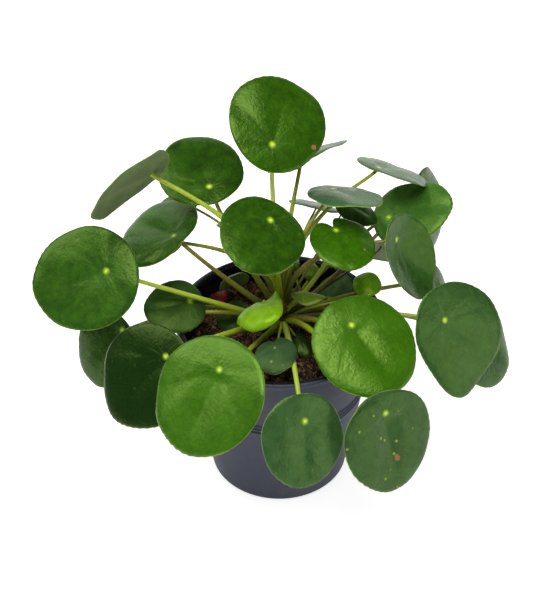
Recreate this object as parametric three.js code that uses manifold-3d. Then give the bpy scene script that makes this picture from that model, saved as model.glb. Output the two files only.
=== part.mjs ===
// A potted Chinese money plant (Pilea peperomioides): a thin-walled nursery pot, its potting mix, a short
// trunk with all its leaf stalks, one blade for each stalk, a small offset plant and a withered leaf.
// Millimetres, +Z up. The origin is the centre of the pot's flat underside, and -Y is the front.
import * as THREE from "three";
import { mergeVertices } from "three/addons/utils/BufferGeometryUtils.js";
import Module from "manifold-3d";

const wasm = await Module();
wasm.setup();

// ---- driving dimensions ----

const POT = {
  rimRadius: 60, // outer edge of the turned-out lip
  height: 110,
  footRadius: 41.5,
  neckRadius: 57, // outside of the wall just under the lip
  neckHeight: 107.6,
  wall: 1.2,
  floor: 1.8,
  lipThickness: 1.6,
  footBevel: 1.6,
  stepHeight: 86, // the wall steps in a little below this line
  stepDepth: 0.5,
  ribHeights: [70, 67, 64],
  ribDepth: 0.7,
  ribHalfWidth: 0.8,
  holeCount: 6, // drainage holes in the floor
  holeRadius: 4,
  holeRing: 26,
  segments: 44,
};
const SOIL = {
  level: 95,
  mound: 2.5, // how much higher the middle lies than the edge
  lump: 0.9,
  clearance: 0.3, // gap to the pot and round planted stems
  rings: 7,
  segments: 36,
};
const BLADE = { thickness: 0.9, rings: 3, segments: 18 };
const STALK = { tipRadius: 1.15, footRadius: 1.9, sides: 5, steps: 8, gap: 0.3, neck: 9 };

// The trunk's centre line from its foot, which stands in the potting mix, to its growing tip.
const TRUNK = {
  path: [
    [3, 3, 74],
    [3, 3, 95],
    [2, 1.5, 106],
    [1, 0, 115],
    [-0.5, 0, 128],
  ],
  footRadius: 4.6,
  tipRadius: 3.4,
  budLength: 13, // the pointed sheath round the growing tip
  scarPitch: 5, // distance between the rings that old leaves left
  scarHeight: 0.35,
  sides: 8,
  steps: 16,
};
const OFFSET = {
  path: [
    [13.2, 32.8, 82],
    [13, 33, 95],
    [12.5, 34, 104],
  ],
  footRadius: 2,
  tipRadius: 1.4,
  budLength: 3,
  scarPitch: 4,
  scarHeight: 0.15,
  sides: 6,
  steps: 6,
};

// ---- leaves ----
// at: the joint of stalk and blade. face and lean: the compass bearing (0 is +X, 90 is +Y) that the upper side
// looks to, and its angle from straight up. tip: how far the blade's tip is turned from straight downhill.
// long and broad: the blade's size. off: how far its middle lies past the joint, as a share of long. along and
// across: how far its ends and its sides bend down from its middle. egg: how much narrower the tip half is.
// lobe and lobeAt: how far the edge is drawn out, and where, from the tip. wave: height of the edge's ripple.
// notch: how far a cleft reaches in from the base to the joint. arch: how steeply the stalk leaves the stem,
// against the straight line to the blade. bend: how long it keeps to that, as a share of the straight line.
// plant: which stem it grows from. foot: the height where its stalk starts, if not in the usual order.
const usual = {
  along: 2,
  across: 2,
  egg: 0.05,
  off: 0.23,
  lobe: 0,
  lobeAt: 0,
  wave: 0.5,
  notch: 0,
  arch: 10,
  bend: 0.4,
  plant: "stem",
};
const LEAVES = [
  { name: "leaf_crown_1", at: [-4, 15, 215], face: 295, lean: 41, tip: 147, long: 55, broad: 54, egg: -0.09 },
  { name: "leaf_crown_2", at: [-5, -5, 180], face: 306, lean: 28, tip: -58, long: 48.5, broad: 47, egg: 0.12 },
  { name: "leaf_crown_3", at: [11.5, 40, 193], face: 131, lean: 35, tip: -103, long: 48, broad: 50, off: 0.08 },
  { name: "leaf_crown_4", at: [31, 7, 165], face: 308, lean: 16, tip: -8, long: 38, broad: 36.5, notch: 0.85 },
  { name: "leaf_crown_5", at: [30, 30, 177.2], face: 76, lean: 18, tip: -128, long: 43, broad: 41, off: 0.25 },
  { name: "leaf_left_1", at: [-40, 40, 172], face: 270, lean: 20, tip: -156, long: 51, broad: 49, off: 0.28 },
  { name: "leaf_left_2", at: [-71, 26, 190], face: 140, lean: 59, tip: 104, long: 55.5, broad: 53, off: 0.34 },
  { name: "leaf_left_3", at: [-60, 20, 152], face: 192, lean: 27, tip: -58, long: 52, broad: 49.5, off: 0.32 },
  { name: "leaf_left_4", at: [-54, 50, 155], face: 190, lean: 25, tip: 0, long: 33, broad: 30, off: 0.3 },
  { name: "leaf_left_5", at: [-96.4, -3, 144.3], face: 258, lean: 45, tip: -64, long: 61.5, broad: 59, off: 0.21 },
  { name: "leaf_left_6", at: [-90, -7, 105], face: 229, lean: 61, tip: -26, long: 46, broad: 45, off: 0.39 },
  { name: "leaf_left_7", at: [-51, 2.3, 118.8], face: 279, lean: 20, tip: -78, long: 35.4, broad: 35, off: 0.27 },
  { name: "leaf_left_8", at: [-64, 36, 139], face: 195, lean: 20, tip: 10, long: 26, broad: 25 },
  { name: "leaf_front_1", at: [-62, -43.8, 117], face: 238, lean: 52, tip: -25, long: 60, broad: 56.5 },
  { name: "leaf_front_2", at: [-32, -63, 124.4], face: 237, lean: 43, tip: -2, long: 65.5, broad: 63.5 },
  { name: "leaf_front_3", at: [13, -86, 109], face: 300, lean: 59, tip: -17, long: 50, broad: 47.5, off: 0.21 },
  { name: "leaf_front_4", at: [56, -76, 105], face: 302, lean: 68, tip: -2, long: 57.5, broad: 55, off: 0.3 },
  { name: "leaf_front_5", at: [39, -34, 131], face: 291, lean: 31, tip: 17, long: 60, broad: 57.5 },
  { name: "leaf_right_1", at: [92, -19, 122], face: 304, lean: 56, tip: 39, long: 59.5, broad: 56.5, off: 0.2 },
  { name: "leaf_right_2", at: [113, -2, 99], face: 325, lean: 58, tip: 20, long: 52, broad: 50 },
  { name: "leaf_right_3", at: [65.1, 8.7, 157.3], face: 326, lean: 63, tip: 12, long: 53.5, broad: 41, off: 0.25 },
  { name: "leaf_right_4", at: [64.6, 52, 142.4], face: 222, lean: 32, tip: 139, long: 49, broad: 43, off: 0.29 },
  { name: "leaf_right_5", at: [57.5, 58, 173.5], face: 46, lean: 28, tip: 0, long: 45, broad: 43, off: 0.35 },
  { name: "leaf_right_6", at: [88.5, 79.5, 142], face: 334, lean: 74, tip: 8, long: 52, broad: 49.5, off: 0.25 },
  { name: "leaf_right_7", at: [90.5, 31, 112], face: 340, lean: 58, tip: 0, long: 36, broad: 34 },
  { name: "leaf_right_8", at: [50, 3, 126], face: 263, lean: 18, tip: -174, long: 17, broad: 16.5, off: 0.29 },
  { name: "leaf_right_9", at: [53, 3, 118], face: 270, lean: 6, tip: 0, long: 13, broad: 12, along: 1 },
  { name: "leaf_back_1", at: [23, 62, 146], face: 64, lean: 31, tip: -175, long: 32, broad: 31 },
  { name: "leaf_back_2", at: [39.8, 49, 153.6], face: 353, lean: 24, tip: 0, long: 28, broad: 26 },
  { name: "leaf_back_3", at: [61.7, 52.2, 121.3], face: 80, lean: 52, tip: 0, long: 38, broad: 36 },
  { name: "leaf_back_4", at: [-18, 66, 132], face: 100, lean: 40, tip: 8, long: 38, broad: 37 },
  { name: "leaf_back_5", at: [46, 70, 112], face: 66, lean: 52, tip: -6, long: 36, broad: 34 },
  { name: "leaf_back_6", at: [-4, 90, 106], face: 92, lean: 62, tip: -4, long: 40, broad: 38 },
  { name: "leaf_inner_1", at: [-9, -15, 133], face: 180, lean: 24, tip: 47, long: 29, broad: 24, across: 7 },
  { name: "leaf_inner_2", at: [-3, -35, 117], face: 225, lean: 15, tip: 51, long: 25, broad: 23.5, notch: 0.5 },
  { name: "leaf_inner_3", at: [-22, 9, 106], face: 250, lean: 20, tip: -40, long: 22, broad: 21 },
  { name: "leaf_inner_4", at: [-29, 34, 108.5], face: 115, lean: 60, tip: 180, long: 21, broad: 19, across: 4 },
  { name: "leaf_inner_5", at: [29, 20, 106], face: 198, lean: 18, tip: -134, long: 25.5, broad: 24.5 },
  { name: "leaf_inner_6", at: [12, -5, 131], face: 80, lean: 30, tip: -90, long: 21, broad: 16, across: 6 },
  { name: "leaf_inner_7", at: [12, -14, 104], face: 280, lean: 20, tip: 10, long: 17, broad: 10 },
  { name: "leaf_offset_1", at: [19, 38, 111], face: 270, lean: 22, tip: 180, long: 12, broad: 11 },
  { name: "leaf_offset_2", at: [10, 44, 113], face: 0, lean: 40, tip: 90, long: 15, broad: 11 },
  { name: "leaf_offset_3", at: [8, 30, 105], face: 250, lean: 25, tip: 0, long: 9, broad: 8 },
];
// A withered leaf that lies on the potting mix: it has no stalk, and its edges curl up.
const FALLEN_LEAF = {
  x: -38,
  y: 29.5,
  clearance: 1.7,
  face: 322,
  lean: 16,
  tip: 90,
  long: 13,
  broad: 9.5,
  along: -1,
  across: -1.2,
};
// What the table's rows have no room for.
const SHAPES = {
  leaf_crown_4: { wave: 0.3 },
  leaf_left_1: { egg: 0.07 },
  leaf_left_2: { egg: -0.1 },
  leaf_left_3: { lobe: 0.1, lobeAt: 116 },
  leaf_left_7: { egg: 0.15 },
  leaf_front_1: { off: 0.29, egg: 0.18, lobe: 0.1, lobeAt: -85 },
  leaf_front_4: { egg: 0.15 },
  leaf_right_1: { egg: -0.08, lobe: 0.24, lobeAt: -63 },
  leaf_right_3: { along: -5, across: -5.5 },
  leaf_right_4: { egg: 0.12, across: 3 },
  leaf_inner_5: { off: 0.36 },
  leaf_offset_1: { plant: "offset_stem" },
  leaf_offset_2: { plant: "offset_stem" },
  leaf_offset_3: { plant: "offset_stem" },
};

// Stalks that leave the stem steeper or flatter than usual, or keep that line for longer.
const ARCHES = {
  leaf_crown_1: { arch: -9 },
  leaf_crown_3: { arch: 23, bend: 0.7 },
  leaf_crown_4: { arch: -17, bend: 0.7 },
  leaf_crown_5: { arch: 37, bend: 0.7 },
  leaf_left_1: { arch: -17 },
  leaf_left_2: { arch: 43, bend: 0.55 },
  leaf_left_3: { arch: -13, bend: 0.3 },
  leaf_left_4: { arch: 35, bend: 0.7 },
  leaf_left_5: { arch: 0, bend: 0.3, foot: 103 },
  leaf_left_6: { arch: 20, bend: 0.7 },
  leaf_left_8: { arch: 61, bend: 0.7 },
  leaf_front_1: { arch: 7, bend: 0.7 },
  leaf_front_2: { arch: -9, bend: 0.3 },
  leaf_front_3: { arch: 15, bend: 0.7 },
  leaf_front_4: { arch: 46 },
  leaf_right_1: { arch: 9, bend: 0.7 },
  leaf_right_2: { arch: 42 },
  leaf_right_3: { arch: 53, bend: 0.7 },
  leaf_right_4: { arch: -14, bend: 0.4 },
  leaf_right_5: { arch: 51, bend: 0.7 },
  leaf_right_6: { arch: 20 },
  leaf_right_7: { arch: 19 },
  leaf_back_1: { arch: 35, bend: 0.7 },
  leaf_back_5: { arch: 24 },
  leaf_back_6: { arch: 58 },
};

const COLOURS = {
  pot: { color: "#4b4c58", roughness: 0.5 },
  soil: { color: "#3a2a20", roughness: 1 },
  stalk: { color: "#7f9a2c", roughness: 0.5 },
  blade: { color: "#2f6a1c", roughness: 0.42 },
  young: { color: "#6fa519", roughness: 0.35 },
  withered: { color: "#6b2a1c", roughness: 0.85 },
};
const YOUNG = new Set(["leaf_inner_1", "leaf_inner_6", "leaf_offset_1", "leaf_right_8"]);

// ---- helpers ----

const up = new THREE.Vector3(0, 0, 1);
const vector = (p) => new THREE.Vector3(...p);
const radians = THREE.MathUtils.degToRad;

// A closed surface from points and triangles, with nothing but positions in it.
function surface(points, triangles) {
  const geometry = new THREE.BufferGeometry();
  geometry.setAttribute("position", new THREE.Float32BufferAttribute(points.flat(), 3));
  geometry.setIndex(triangles.flat());
  return geometry;
}

// A closed geometry as a manifold-3d solid: seams are merged and slivers at the poles dropped.
function solidOf(geometry) {
  const bare = geometry.clone();
  for (const name of ["normal", "uv"]) {
    bare.deleteAttribute(name);
  }
  const merged = mergeVertices(bare, 1e-4);
  const index = merged.index.array;
  const triVerts = [];
  for (let i = 0; i < index.length; i += 3) {
    const [a, b, c] = [index[i], index[i + 1], index[i + 2]];
    if (a !== b && b !== c && c !== a) {
      triVerts.push(a, b, c);
    }
  }
  return new wasm.Manifold(
    new wasm.Mesh({
      numProp: 3,
      vertProperties: new Float32Array(merged.attributes.position.array),
      triVerts: new Uint32Array(triVerts),
    }),
  );
}

function geometryOf(solid) {
  const { vertProperties, triVerts } = solid.getMesh();
  const geometry = new THREE.BufferGeometry();
  geometry.setAttribute("position", new THREE.BufferAttribute(vertProperties, 3));
  geometry.setIndex(new THREE.BufferAttribute(triVerts, 1));
  return geometry;
}

// A lathe turned about Z from a closed profile of [radius, height] points.
function turned(profile, segments) {
  const points = profile.map(([r, z]) => new THREE.Vector2(r, z));
  return new THREE.LatheGeometry(points, segments).rotateX(Math.PI / 2);
}

// An upright cylinder that cuts a hole at x, y.
function drill(radius, low, high, x, y) {
  const cylinder = new THREE.CylinderGeometry(radius, radius, high - low, 16);
  return solidOf(cylinder.rotateX(Math.PI / 2).translate(x, y, (low + high) / 2));
}

// A round rod along a curve, closed at both ends, whose radius is a function of the share of its length.
function rod(curve, radiusAt, sides, steps) {
  const frames = curve.computeFrenetFrames(steps, false);
  const points = [];
  const triangles = [];
  for (let i = 0; i <= steps; i++) {
    const centre = curve.getPointAt(i / steps);
    const radius = radiusAt(i / steps);
    for (let k = 0; k < sides; k++) {
      const angle = (2 * Math.PI * k) / sides;
      const point = centre
        .clone()
        .addScaledVector(frames.normals[i], radius * Math.cos(angle))
        .addScaledVector(frames.binormals[i], radius * Math.sin(angle));
      points.push(point.toArray());
    }
  }
  for (let i = 0; i < steps; i++) {
    for (let k = 0; k < sides; k++) {
      const [a, b] = [i * sides + k, i * sides + ((k + 1) % sides)];
      triangles.push([a, b, b + sides], [a, b + sides, a + sides]);
    }
  }
  const last = steps * sides;
  for (let k = 1; k < sides - 1; k++) {
    triangles.push([0, k + 1, k], [last, last + k, last + k + 1]);
  }
  return surface(points, triangles);
}

// ---- pot ----

// Outer radius of the pot's wall, which widens evenly from the foot to the neck.
function wallRadius(z) {
  return THREE.MathUtils.mapLinear(z, 0, POT.neckHeight, POT.footRadius, POT.neckRadius);
}

function potGeometry() {
  const { rimRadius, height, wall, floor, lipThickness, footBevel, stepHeight, stepDepth } = POT;
  const outer = [
    [0, 0],
    [POT.footRadius - footBevel, 0],
    [wallRadius(footBevel), footBevel],
  ];
  for (const z of [...POT.ribHeights].reverse()) {
    outer.push([wallRadius(z - POT.ribHalfWidth), z - POT.ribHalfWidth]);
    outer.push([wallRadius(z) + POT.ribDepth, z]);
    outer.push([wallRadius(z + POT.ribHalfWidth), z + POT.ribHalfWidth]);
  }
  outer.push([wallRadius(stepHeight), stepHeight]);
  outer.push([wallRadius(stepHeight) + stepDepth, stepHeight + stepDepth]);
  outer.push([POT.neckRadius, POT.neckHeight]);
  const lipUnder = height - lipThickness;
  const lip = [
    [rimRadius - 0.5, lipUnder - 0.3],
    [rimRadius, lipUnder + 0.4],
    [rimRadius - 0.2, height - 0.4],
    [rimRadius - 0.8, height],
    [POT.neckRadius, height],
    [POT.neckRadius - wall - 0.3, height - 1.2],
  ];
  const inner = [
    [wallRadius(stepHeight) - wall, stepHeight],
    [wallRadius(floor) - wall, floor],
    [0, floor],
  ];
  let pot = solidOf(turned([...outer, ...lip, ...inner], POT.segments));
  for (let k = 0; k < POT.holeCount; k++) {
    const angle = (2 * Math.PI * k) / POT.holeCount;
    const [x, y] = [POT.holeRing * Math.cos(angle), POT.holeRing * Math.sin(angle)];
    pot = pot.subtract(drill(POT.holeRadius, -1, floor + 1, x, y));
  }
  return geometryOf(pot);
}

// ---- potting mix ----

// Height of the potting mix: a low mound with lumps from crossed sine waves.
function soilHeight(x, y) {
  const share = Math.hypot(x, y) / POT.neckRadius;
  const lumps = Math.sin(0.31 * x + 0.7) * Math.cos(0.27 * y - 0.4) + 0.6 * Math.sin(0.53 * x - 0.47 * y);
  return SOIL.level + SOIL.mound * (1 - share * share) + SOIL.lump * lumps;
}

function soilGeometry() {
  const { rings, segments, clearance } = SOIL;
  const floor = POT.floor + clearance;
  const inside = (z) => wallRadius(z) - POT.wall - clearance;
  const points = [[0, 0, soilHeight(0, 0)]];
  const triangles = [];
  const ring = (at, heightAt) => {
    for (let k = 0; k < segments; k++) {
      const angle = (2 * Math.PI * k) / segments;
      const [x, y] = [at * Math.cos(angle), at * Math.sin(angle)];
      points.push([x, y, heightAt(x, y)]);
    }
  };
  for (let i = 1; i <= rings; i++) {
    ring((inside(SOIL.level - 4) * i) / rings, soilHeight);
  }
  ring(inside(floor), () => floor);
  points.push([0, 0, floor]);
  const bottom = points.length - 1;
  for (let k = 0; k < segments; k++) {
    const next = (k + 1) % segments;
    triangles.push([0, 1 + k, 1 + next]);
    for (let i = 0; i < rings; i++) {
      const [a, b] = [1 + i * segments + k, 1 + i * segments + next];
      triangles.push([a, a + segments, b + segments], [a, b + segments, b]);
    }
    const edge = 1 + rings * segments;
    triangles.push([bottom, edge + next, edge + k]);
  }
  const holes = [TRUNK, OFFSET].map(({ path, footRadius }) => {
    const radius = footRadius + 1.2;
    return drill(radius, path[0][2] - clearance, SOIL.level + 12, path[0][0], path[0][1]);
  });
  return geometryOf(holes.reduce((soil, hole) => soil.subtract(hole), solidOf(surface(points, triangles))));
}

// ---- blades ----

// The blade's own axes: normal out of its upper side, tip along its length, side across it.
function bladeAxes(leaf) {
  const [face, lean, turn] = [radians(leaf.face), radians(leaf.lean), radians(leaf.tip)];
  const out = new THREE.Vector3(Math.cos(face), Math.sin(face), 0);
  const normal = out.clone().multiplyScalar(Math.sin(lean)).addScaledVector(up, Math.cos(lean));
  const downhill = out.clone().multiplyScalar(Math.cos(lean)).addScaledVector(up, -Math.sin(lean));
  const level = new THREE.Vector3().crossVectors(normal, downhill);
  const tip = downhill.clone().multiplyScalar(Math.cos(turn)).addScaledVector(level, Math.sin(turn));
  return { normal, tip, side: new THREE.Vector3().crossVectors(normal, tip) };
}

// Fall of the blade from its middle, at x along its length and y across it from the joint.
function bladeFall(leaf, x, y) {
  const alongShare = (x - leaf.off * leaf.long) / (leaf.long / 2);
  const acrossShare = y / (leaf.broad / 2);
  return leaf.along * alongShare ** 2 + leaf.across * acrossShare ** 2;
}

// A smooth bump of height 1 round an angle, which falls off over the given width.
function bump(angle, middle, width) {
  const turn = Math.atan2(Math.sin(angle - middle), Math.cos(angle - middle));
  return Math.exp(-((turn / width) ** 2));
}

// A point of the blade's middle surface: share is 0 at the joint and 1 at the edge, angle is 0 at the tip.
// The edge is an egg-shaped ellipse whose middle lies off the joint, and it waves gently three times round.
function bladePoint(leaf, share, angle) {
  const lobe = 1 + leaf.lobe * bump(angle, radians(leaf.lobeAt), 0.45);
  const reach = share * lobe * (1 - leaf.notch * bump(angle, Math.PI, 0.16));
  const x = reach * (leaf.off * leaf.long + (leaf.long / 2) * Math.cos(angle));
  const y = reach * (leaf.broad / 2) * Math.sin(angle) * (1 - leaf.egg * Math.cos(angle));
  const ripple = leaf.wave * share ** 3 * Math.sin(3 * angle + leaf.phase);
  return [x, y, bladeFall(leaf, 0, 0) - bladeFall(leaf, x, y) + ripple];
}

function bladeGeometry(leaf) {
  const { normal, tip, side } = bladeAxes(leaf);
  const at = vector(leaf.at);
  const small = leaf.long < 30;
  const segments = small ? 14 : BLADE.segments;
  const rings = small ? 2 : BLADE.rings;
  const spots = [[0, 0, 0]];
  for (let i = 1; i <= rings; i++) {
    for (let k = 0; k < segments; k++) {
      spots.push(bladePoint(leaf, i / rings, (2 * Math.PI * k) / segments));
    }
  }
  const points = [];
  for (const lift of [BLADE.thickness / 2, -BLADE.thickness / 2]) {
    for (const [x, y, z] of spots) {
      const point = at.clone().addScaledVector(tip, x).addScaledVector(side, y);
      points.push(point.addScaledVector(normal, z + lift).toArray());
    }
  }
  const faces = [];
  for (let k = 0; k < segments; k++) {
    const next = (k + 1) % segments;
    faces.push([0, 1 + k, 1 + next]);
    for (let i = 0; i < rings - 1; i++) {
      const [a, b] = [1 + i * segments + k, 1 + i * segments + next];
      faces.push([a, a + segments, b + segments], [a, b + segments, b]);
    }
  }
  const under = spots.length;
  const triangles = [...faces, ...faces.map(([a, b, c]) => [a + under, c + under, b + under])];
  const edge = 1 + (rings - 1) * segments;
  for (let k = 0; k < segments; k++) {
    const [a, b] = [edge + k, edge + ((k + 1) % segments)];
    triangles.push([a, a + under, b + under], [a, b + under, b]);
  }
  return surface(points, triangles);
}

// ---- stems ----

// A stem's centre line, and the height at which a leaf's stalk leaves it: the higher leaf, the higher stalk.
function stemCurve(stem) {
  return new THREE.CatmullRomCurve3(stem.path.map(vector), false, "centripetal");
}

function stalkFoot(stem, leaf) {
  const [low, high] = [SOIL.level + 7, stem.path.at(-1)[2] - stem.budLength - 1];
  const usualHeight = THREE.MathUtils.mapLinear(leaf.at[2], 85, 200, low, high);
  const height = THREE.MathUtils.clamp(leaf.foot ?? usualHeight, low, high);
  const curve = stemCurve(stem);
  let best = curve.getPointAt(1);
  for (let i = 0; i <= 60; i++) {
    const point = curve.getPointAt(i / 60);
    if (Math.abs(point.z - height) < Math.abs(best.z - height)) {
      best = point;
    }
  }
  return best;
}

// The stalk leaves the stem a little steeper than the straight line to the blade, and near the blade it bends
// half way from that line to the square on the blade, to end under the joint.
function stalkCurve(stem, leaf) {
  const foot = stalkFoot(stem, leaf);
  const { normal } = bladeAxes(leaf);
  const joint = vector(leaf.at);
  const neck = joint.clone().sub(foot).normalize().add(normal).normalize();
  const tilt = STALK.tipRadius * stalkSize(leaf) * Math.sin(neck.angleTo(normal));
  const top = joint.addScaledVector(normal, -(BLADE.thickness / 2 + STALK.gap + tilt));
  const chord = top.clone().sub(foot);
  const flat = Math.hypot(chord.x, chord.y);
  const rise = Math.min(Math.atan2(chord.z, flat) + radians(leaf.arch), radians(88));
  const start = new THREE.Vector3(chord.x, chord.y, flat * Math.tan(rise)).normalize();
  const second = foot.clone().addScaledVector(start, leaf.bend * chord.length());
  const third = top.clone().addScaledVector(neck, -Math.min(STALK.neck, 0.35 * chord.length()));
  return new THREE.CubicBezierCurve3(foot, second, third, top);
}

// Stalks of small leaves are thinner.
function stalkSize(leaf) {
  return THREE.MathUtils.clamp(leaf.long / 50, 0.5, 1.15);
}

function stemGeometry(stem, leaves) {
  const length = stemCurve(stem).getLength();
  const trunkRadius = (share) => {
    const taper = THREE.MathUtils.lerp(stem.footRadius, stem.tipRadius, share);
    const scar = Math.cos((2 * Math.PI * share * length) / stem.scarPitch);
    const left = Math.min(1, ((1 - share) * length) / stem.budLength);
    return (taper + stem.scarHeight * scar) * Math.max(0.15, left ** 0.7);
  };
  let body = solidOf(rod(stemCurve(stem), trunkRadius, stem.sides, stem.steps));
  for (const leaf of leaves) {
    const size = stalkSize(leaf);
    const { footRadius, tipRadius } = STALK;
    const radius = (share) => size * THREE.MathUtils.lerp(footRadius, tipRadius, Math.min(1, 1.6 * share));
    body = body.add(solidOf(rod(stalkCurve(stem, leaf), radius, STALK.sides, STALK.steps)));
  }
  return geometryOf(body);
}

// ---- assembly ----

const plant = new THREE.Group();

function addPiece(name, geometry, colour) {
  geometry.computeVertexNormals();
  const mesh = new THREE.Mesh(geometry, new THREE.MeshStandardMaterial({ metalness: 0, ...colour }));
  mesh.name = name;
  plant.add(mesh);
}

const leaves = LEAVES.map((leaf, i) => {
  return { ...usual, ...leaf, ...SHAPES[leaf.name], ...ARCHES[leaf.name], phase: 2.4 * i };
});
addPiece("pot", potGeometry(), COLOURS.pot);
addPiece("soil", soilGeometry(), COLOURS.soil);
for (const [name, stem] of Object.entries({ stem: TRUNK, offset_stem: OFFSET })) {
  addPiece(name, stemGeometry(stem, leaves.filter((leaf) => leaf.plant === name)), COLOURS.stalk);
}
const { x, y } = FALLEN_LEAF;
const fallen = { ...usual, ...FALLEN_LEAF, at: [x, y, soilHeight(x, y) + FALLEN_LEAF.clearance], phase: 0 };
addPiece("fallen_leaf", bladeGeometry(fallen), COLOURS.withered);
for (const leaf of leaves) {
  addPiece(leaf.name, bladeGeometry(leaf), YOUNG.has(leaf.name) ? COLOURS.young : COLOURS.blade);
}

export default plant;
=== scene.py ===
import math
from functools import partial

import bpy
import numpy as np
from bpy.props import FloatProperty, FloatVectorProperty, IntProperty, PointerProperty
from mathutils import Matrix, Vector


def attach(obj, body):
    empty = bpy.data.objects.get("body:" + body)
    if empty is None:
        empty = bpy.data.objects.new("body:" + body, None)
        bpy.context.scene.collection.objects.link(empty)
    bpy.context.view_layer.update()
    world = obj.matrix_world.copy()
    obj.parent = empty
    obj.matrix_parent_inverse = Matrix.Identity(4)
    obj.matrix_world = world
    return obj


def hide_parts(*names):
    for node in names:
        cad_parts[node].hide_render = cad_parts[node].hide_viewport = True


bl_info = {
    "name": "Potted Chinese money plant",
    "version": (1, 0, 0),
    "blender": (4, 5, 0),
    "location": "3D View > Sidebar > Money plant",
    "description": "Dresses the solids of a potted Pilea peperomioides: blades, stalks, potting mix and pot",
    "category": "Object",
}

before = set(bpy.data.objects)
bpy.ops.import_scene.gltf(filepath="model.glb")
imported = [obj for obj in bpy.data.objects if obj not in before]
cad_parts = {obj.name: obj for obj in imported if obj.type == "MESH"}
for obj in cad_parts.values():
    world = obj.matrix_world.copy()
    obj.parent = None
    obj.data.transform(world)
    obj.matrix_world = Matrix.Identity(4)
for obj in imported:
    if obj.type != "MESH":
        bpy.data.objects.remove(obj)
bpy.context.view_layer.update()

MM = 0.001
TURN = 2 * math.pi
# Not quite upright, so that it is never along a rod.
NEARLY_UP = np.array([0.013, 0.021, 1.0])

# ---- the plant's table ----
# Each row: the joint of stalk and blade in millimetres, the compass bearing that the upper side looks to,
# its angle from straight up, how far the tip is turned from straight downhill, and the blade's length and
# breadth.
LEAVES = {
    "leaf_crown_1": ((-4, 15, 215), 295, 41, 147, 55, 54),
    "leaf_crown_2": ((-5, -5, 180), 306, 28, -58, 48.5, 47),
    "leaf_crown_3": ((11.5, 40, 193), 131, 35, -103, 48, 50),
    "leaf_crown_4": ((31, 7, 165), 308, 16, -8, 38, 36.5),
    "leaf_crown_5": ((30, 30, 177.2), 76, 18, -128, 43, 41),
    "leaf_left_1": ((-40, 40, 172), 270, 20, -156, 51, 49),
    "leaf_left_2": ((-71, 26, 190), 140, 59, 104, 55.5, 53),
    "leaf_left_3": ((-60, 20, 152), 192, 27, -58, 52, 49.5),
    "leaf_left_4": ((-54, 50, 155), 190, 25, 0, 33, 30),
    "leaf_left_5": ((-96.4, -3, 144.3), 258, 45, -64, 61.5, 59),
    "leaf_left_6": ((-90, -7, 105), 229, 61, -26, 46, 45),
    "leaf_left_7": ((-51, 2.3, 118.8), 279, 20, -78, 35.4, 35),
    "leaf_left_8": ((-64, 36, 139), 195, 20, 10, 26, 25),
    "leaf_front_1": ((-62, -43.8, 117), 238, 52, -25, 60, 56.5),
    "leaf_front_2": ((-32, -63, 124.4), 237, 43, -2, 65.5, 63.5),
    "leaf_front_3": ((13, -86, 109), 300, 59, -17, 50, 47.5),
    "leaf_front_4": ((56, -76, 105), 302, 68, -2, 57.5, 55),
    "leaf_front_5": ((39, -34, 131), 291, 31, 17, 60, 57.5),
    "leaf_right_1": ((92, -19, 122), 304, 56, 39, 59.5, 56.5),
    "leaf_right_2": ((113, -2, 99), 325, 58, 20, 52, 50),
    "leaf_right_3": ((65.1, 8.7, 157.3), 326, 63, 12, 53.5, 41),
    "leaf_right_4": ((64.6, 52, 142.4), 222, 32, 139, 49, 43),
    "leaf_right_5": ((57.5, 58, 173.5), 46, 28, 0, 45, 43),
    "leaf_right_6": ((88.5, 79.5, 142), 334, 74, 8, 52, 49.5),
    "leaf_right_7": ((90.5, 31, 112), 340, 58, 0, 36, 34),
    "leaf_right_8": ((50, 3, 126), 263, 18, -174, 17, 16.5),
    "leaf_right_9": ((53, 3, 118), 270, 6, 0, 13, 12),
    "leaf_back_1": ((23, 62, 146), 64, 31, -175, 32, 31),
    "leaf_back_2": ((39.8, 49, 153.6), 353, 24, 0, 28, 26),
    "leaf_back_3": ((61.7, 52.2, 121.3), 80, 52, 0, 38, 36),
    "leaf_back_4": ((-18, 66, 132), 100, 40, 8, 38, 37),
    "leaf_back_5": ((46, 70, 112), 66, 52, -6, 36, 34),
    "leaf_back_6": ((-4, 90, 106), 92, 62, -4, 40, 38),
    "leaf_inner_1": ((-9, -15, 133), 180, 24, 47, 29, 24),
    "leaf_inner_2": ((-3, -35, 117), 225, 15, 51, 25, 23.5),
    "leaf_inner_3": ((-22, 9, 106), 250, 20, -40, 22, 21),
    "leaf_inner_4": ((-29, 34, 108.5), 115, 60, 180, 21, 19),
    "leaf_inner_5": ((29, 20, 106), 198, 18, -134, 25.5, 24.5),
    "leaf_inner_6": ((12, -5, 131), 80, 30, -90, 21, 16),
    "leaf_inner_7": ((12, -14, 104), 280, 20, 10, 17, 10),
    "leaf_offset_1": ((19, 38, 111), 270, 22, 180, 12, 11),
    "leaf_offset_2": ((10, 44, 113), 0, 40, 90, 15, 11),
    "leaf_offset_3": ((8, 30, 105), 250, 25, 0, 9, 8),
}
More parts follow.
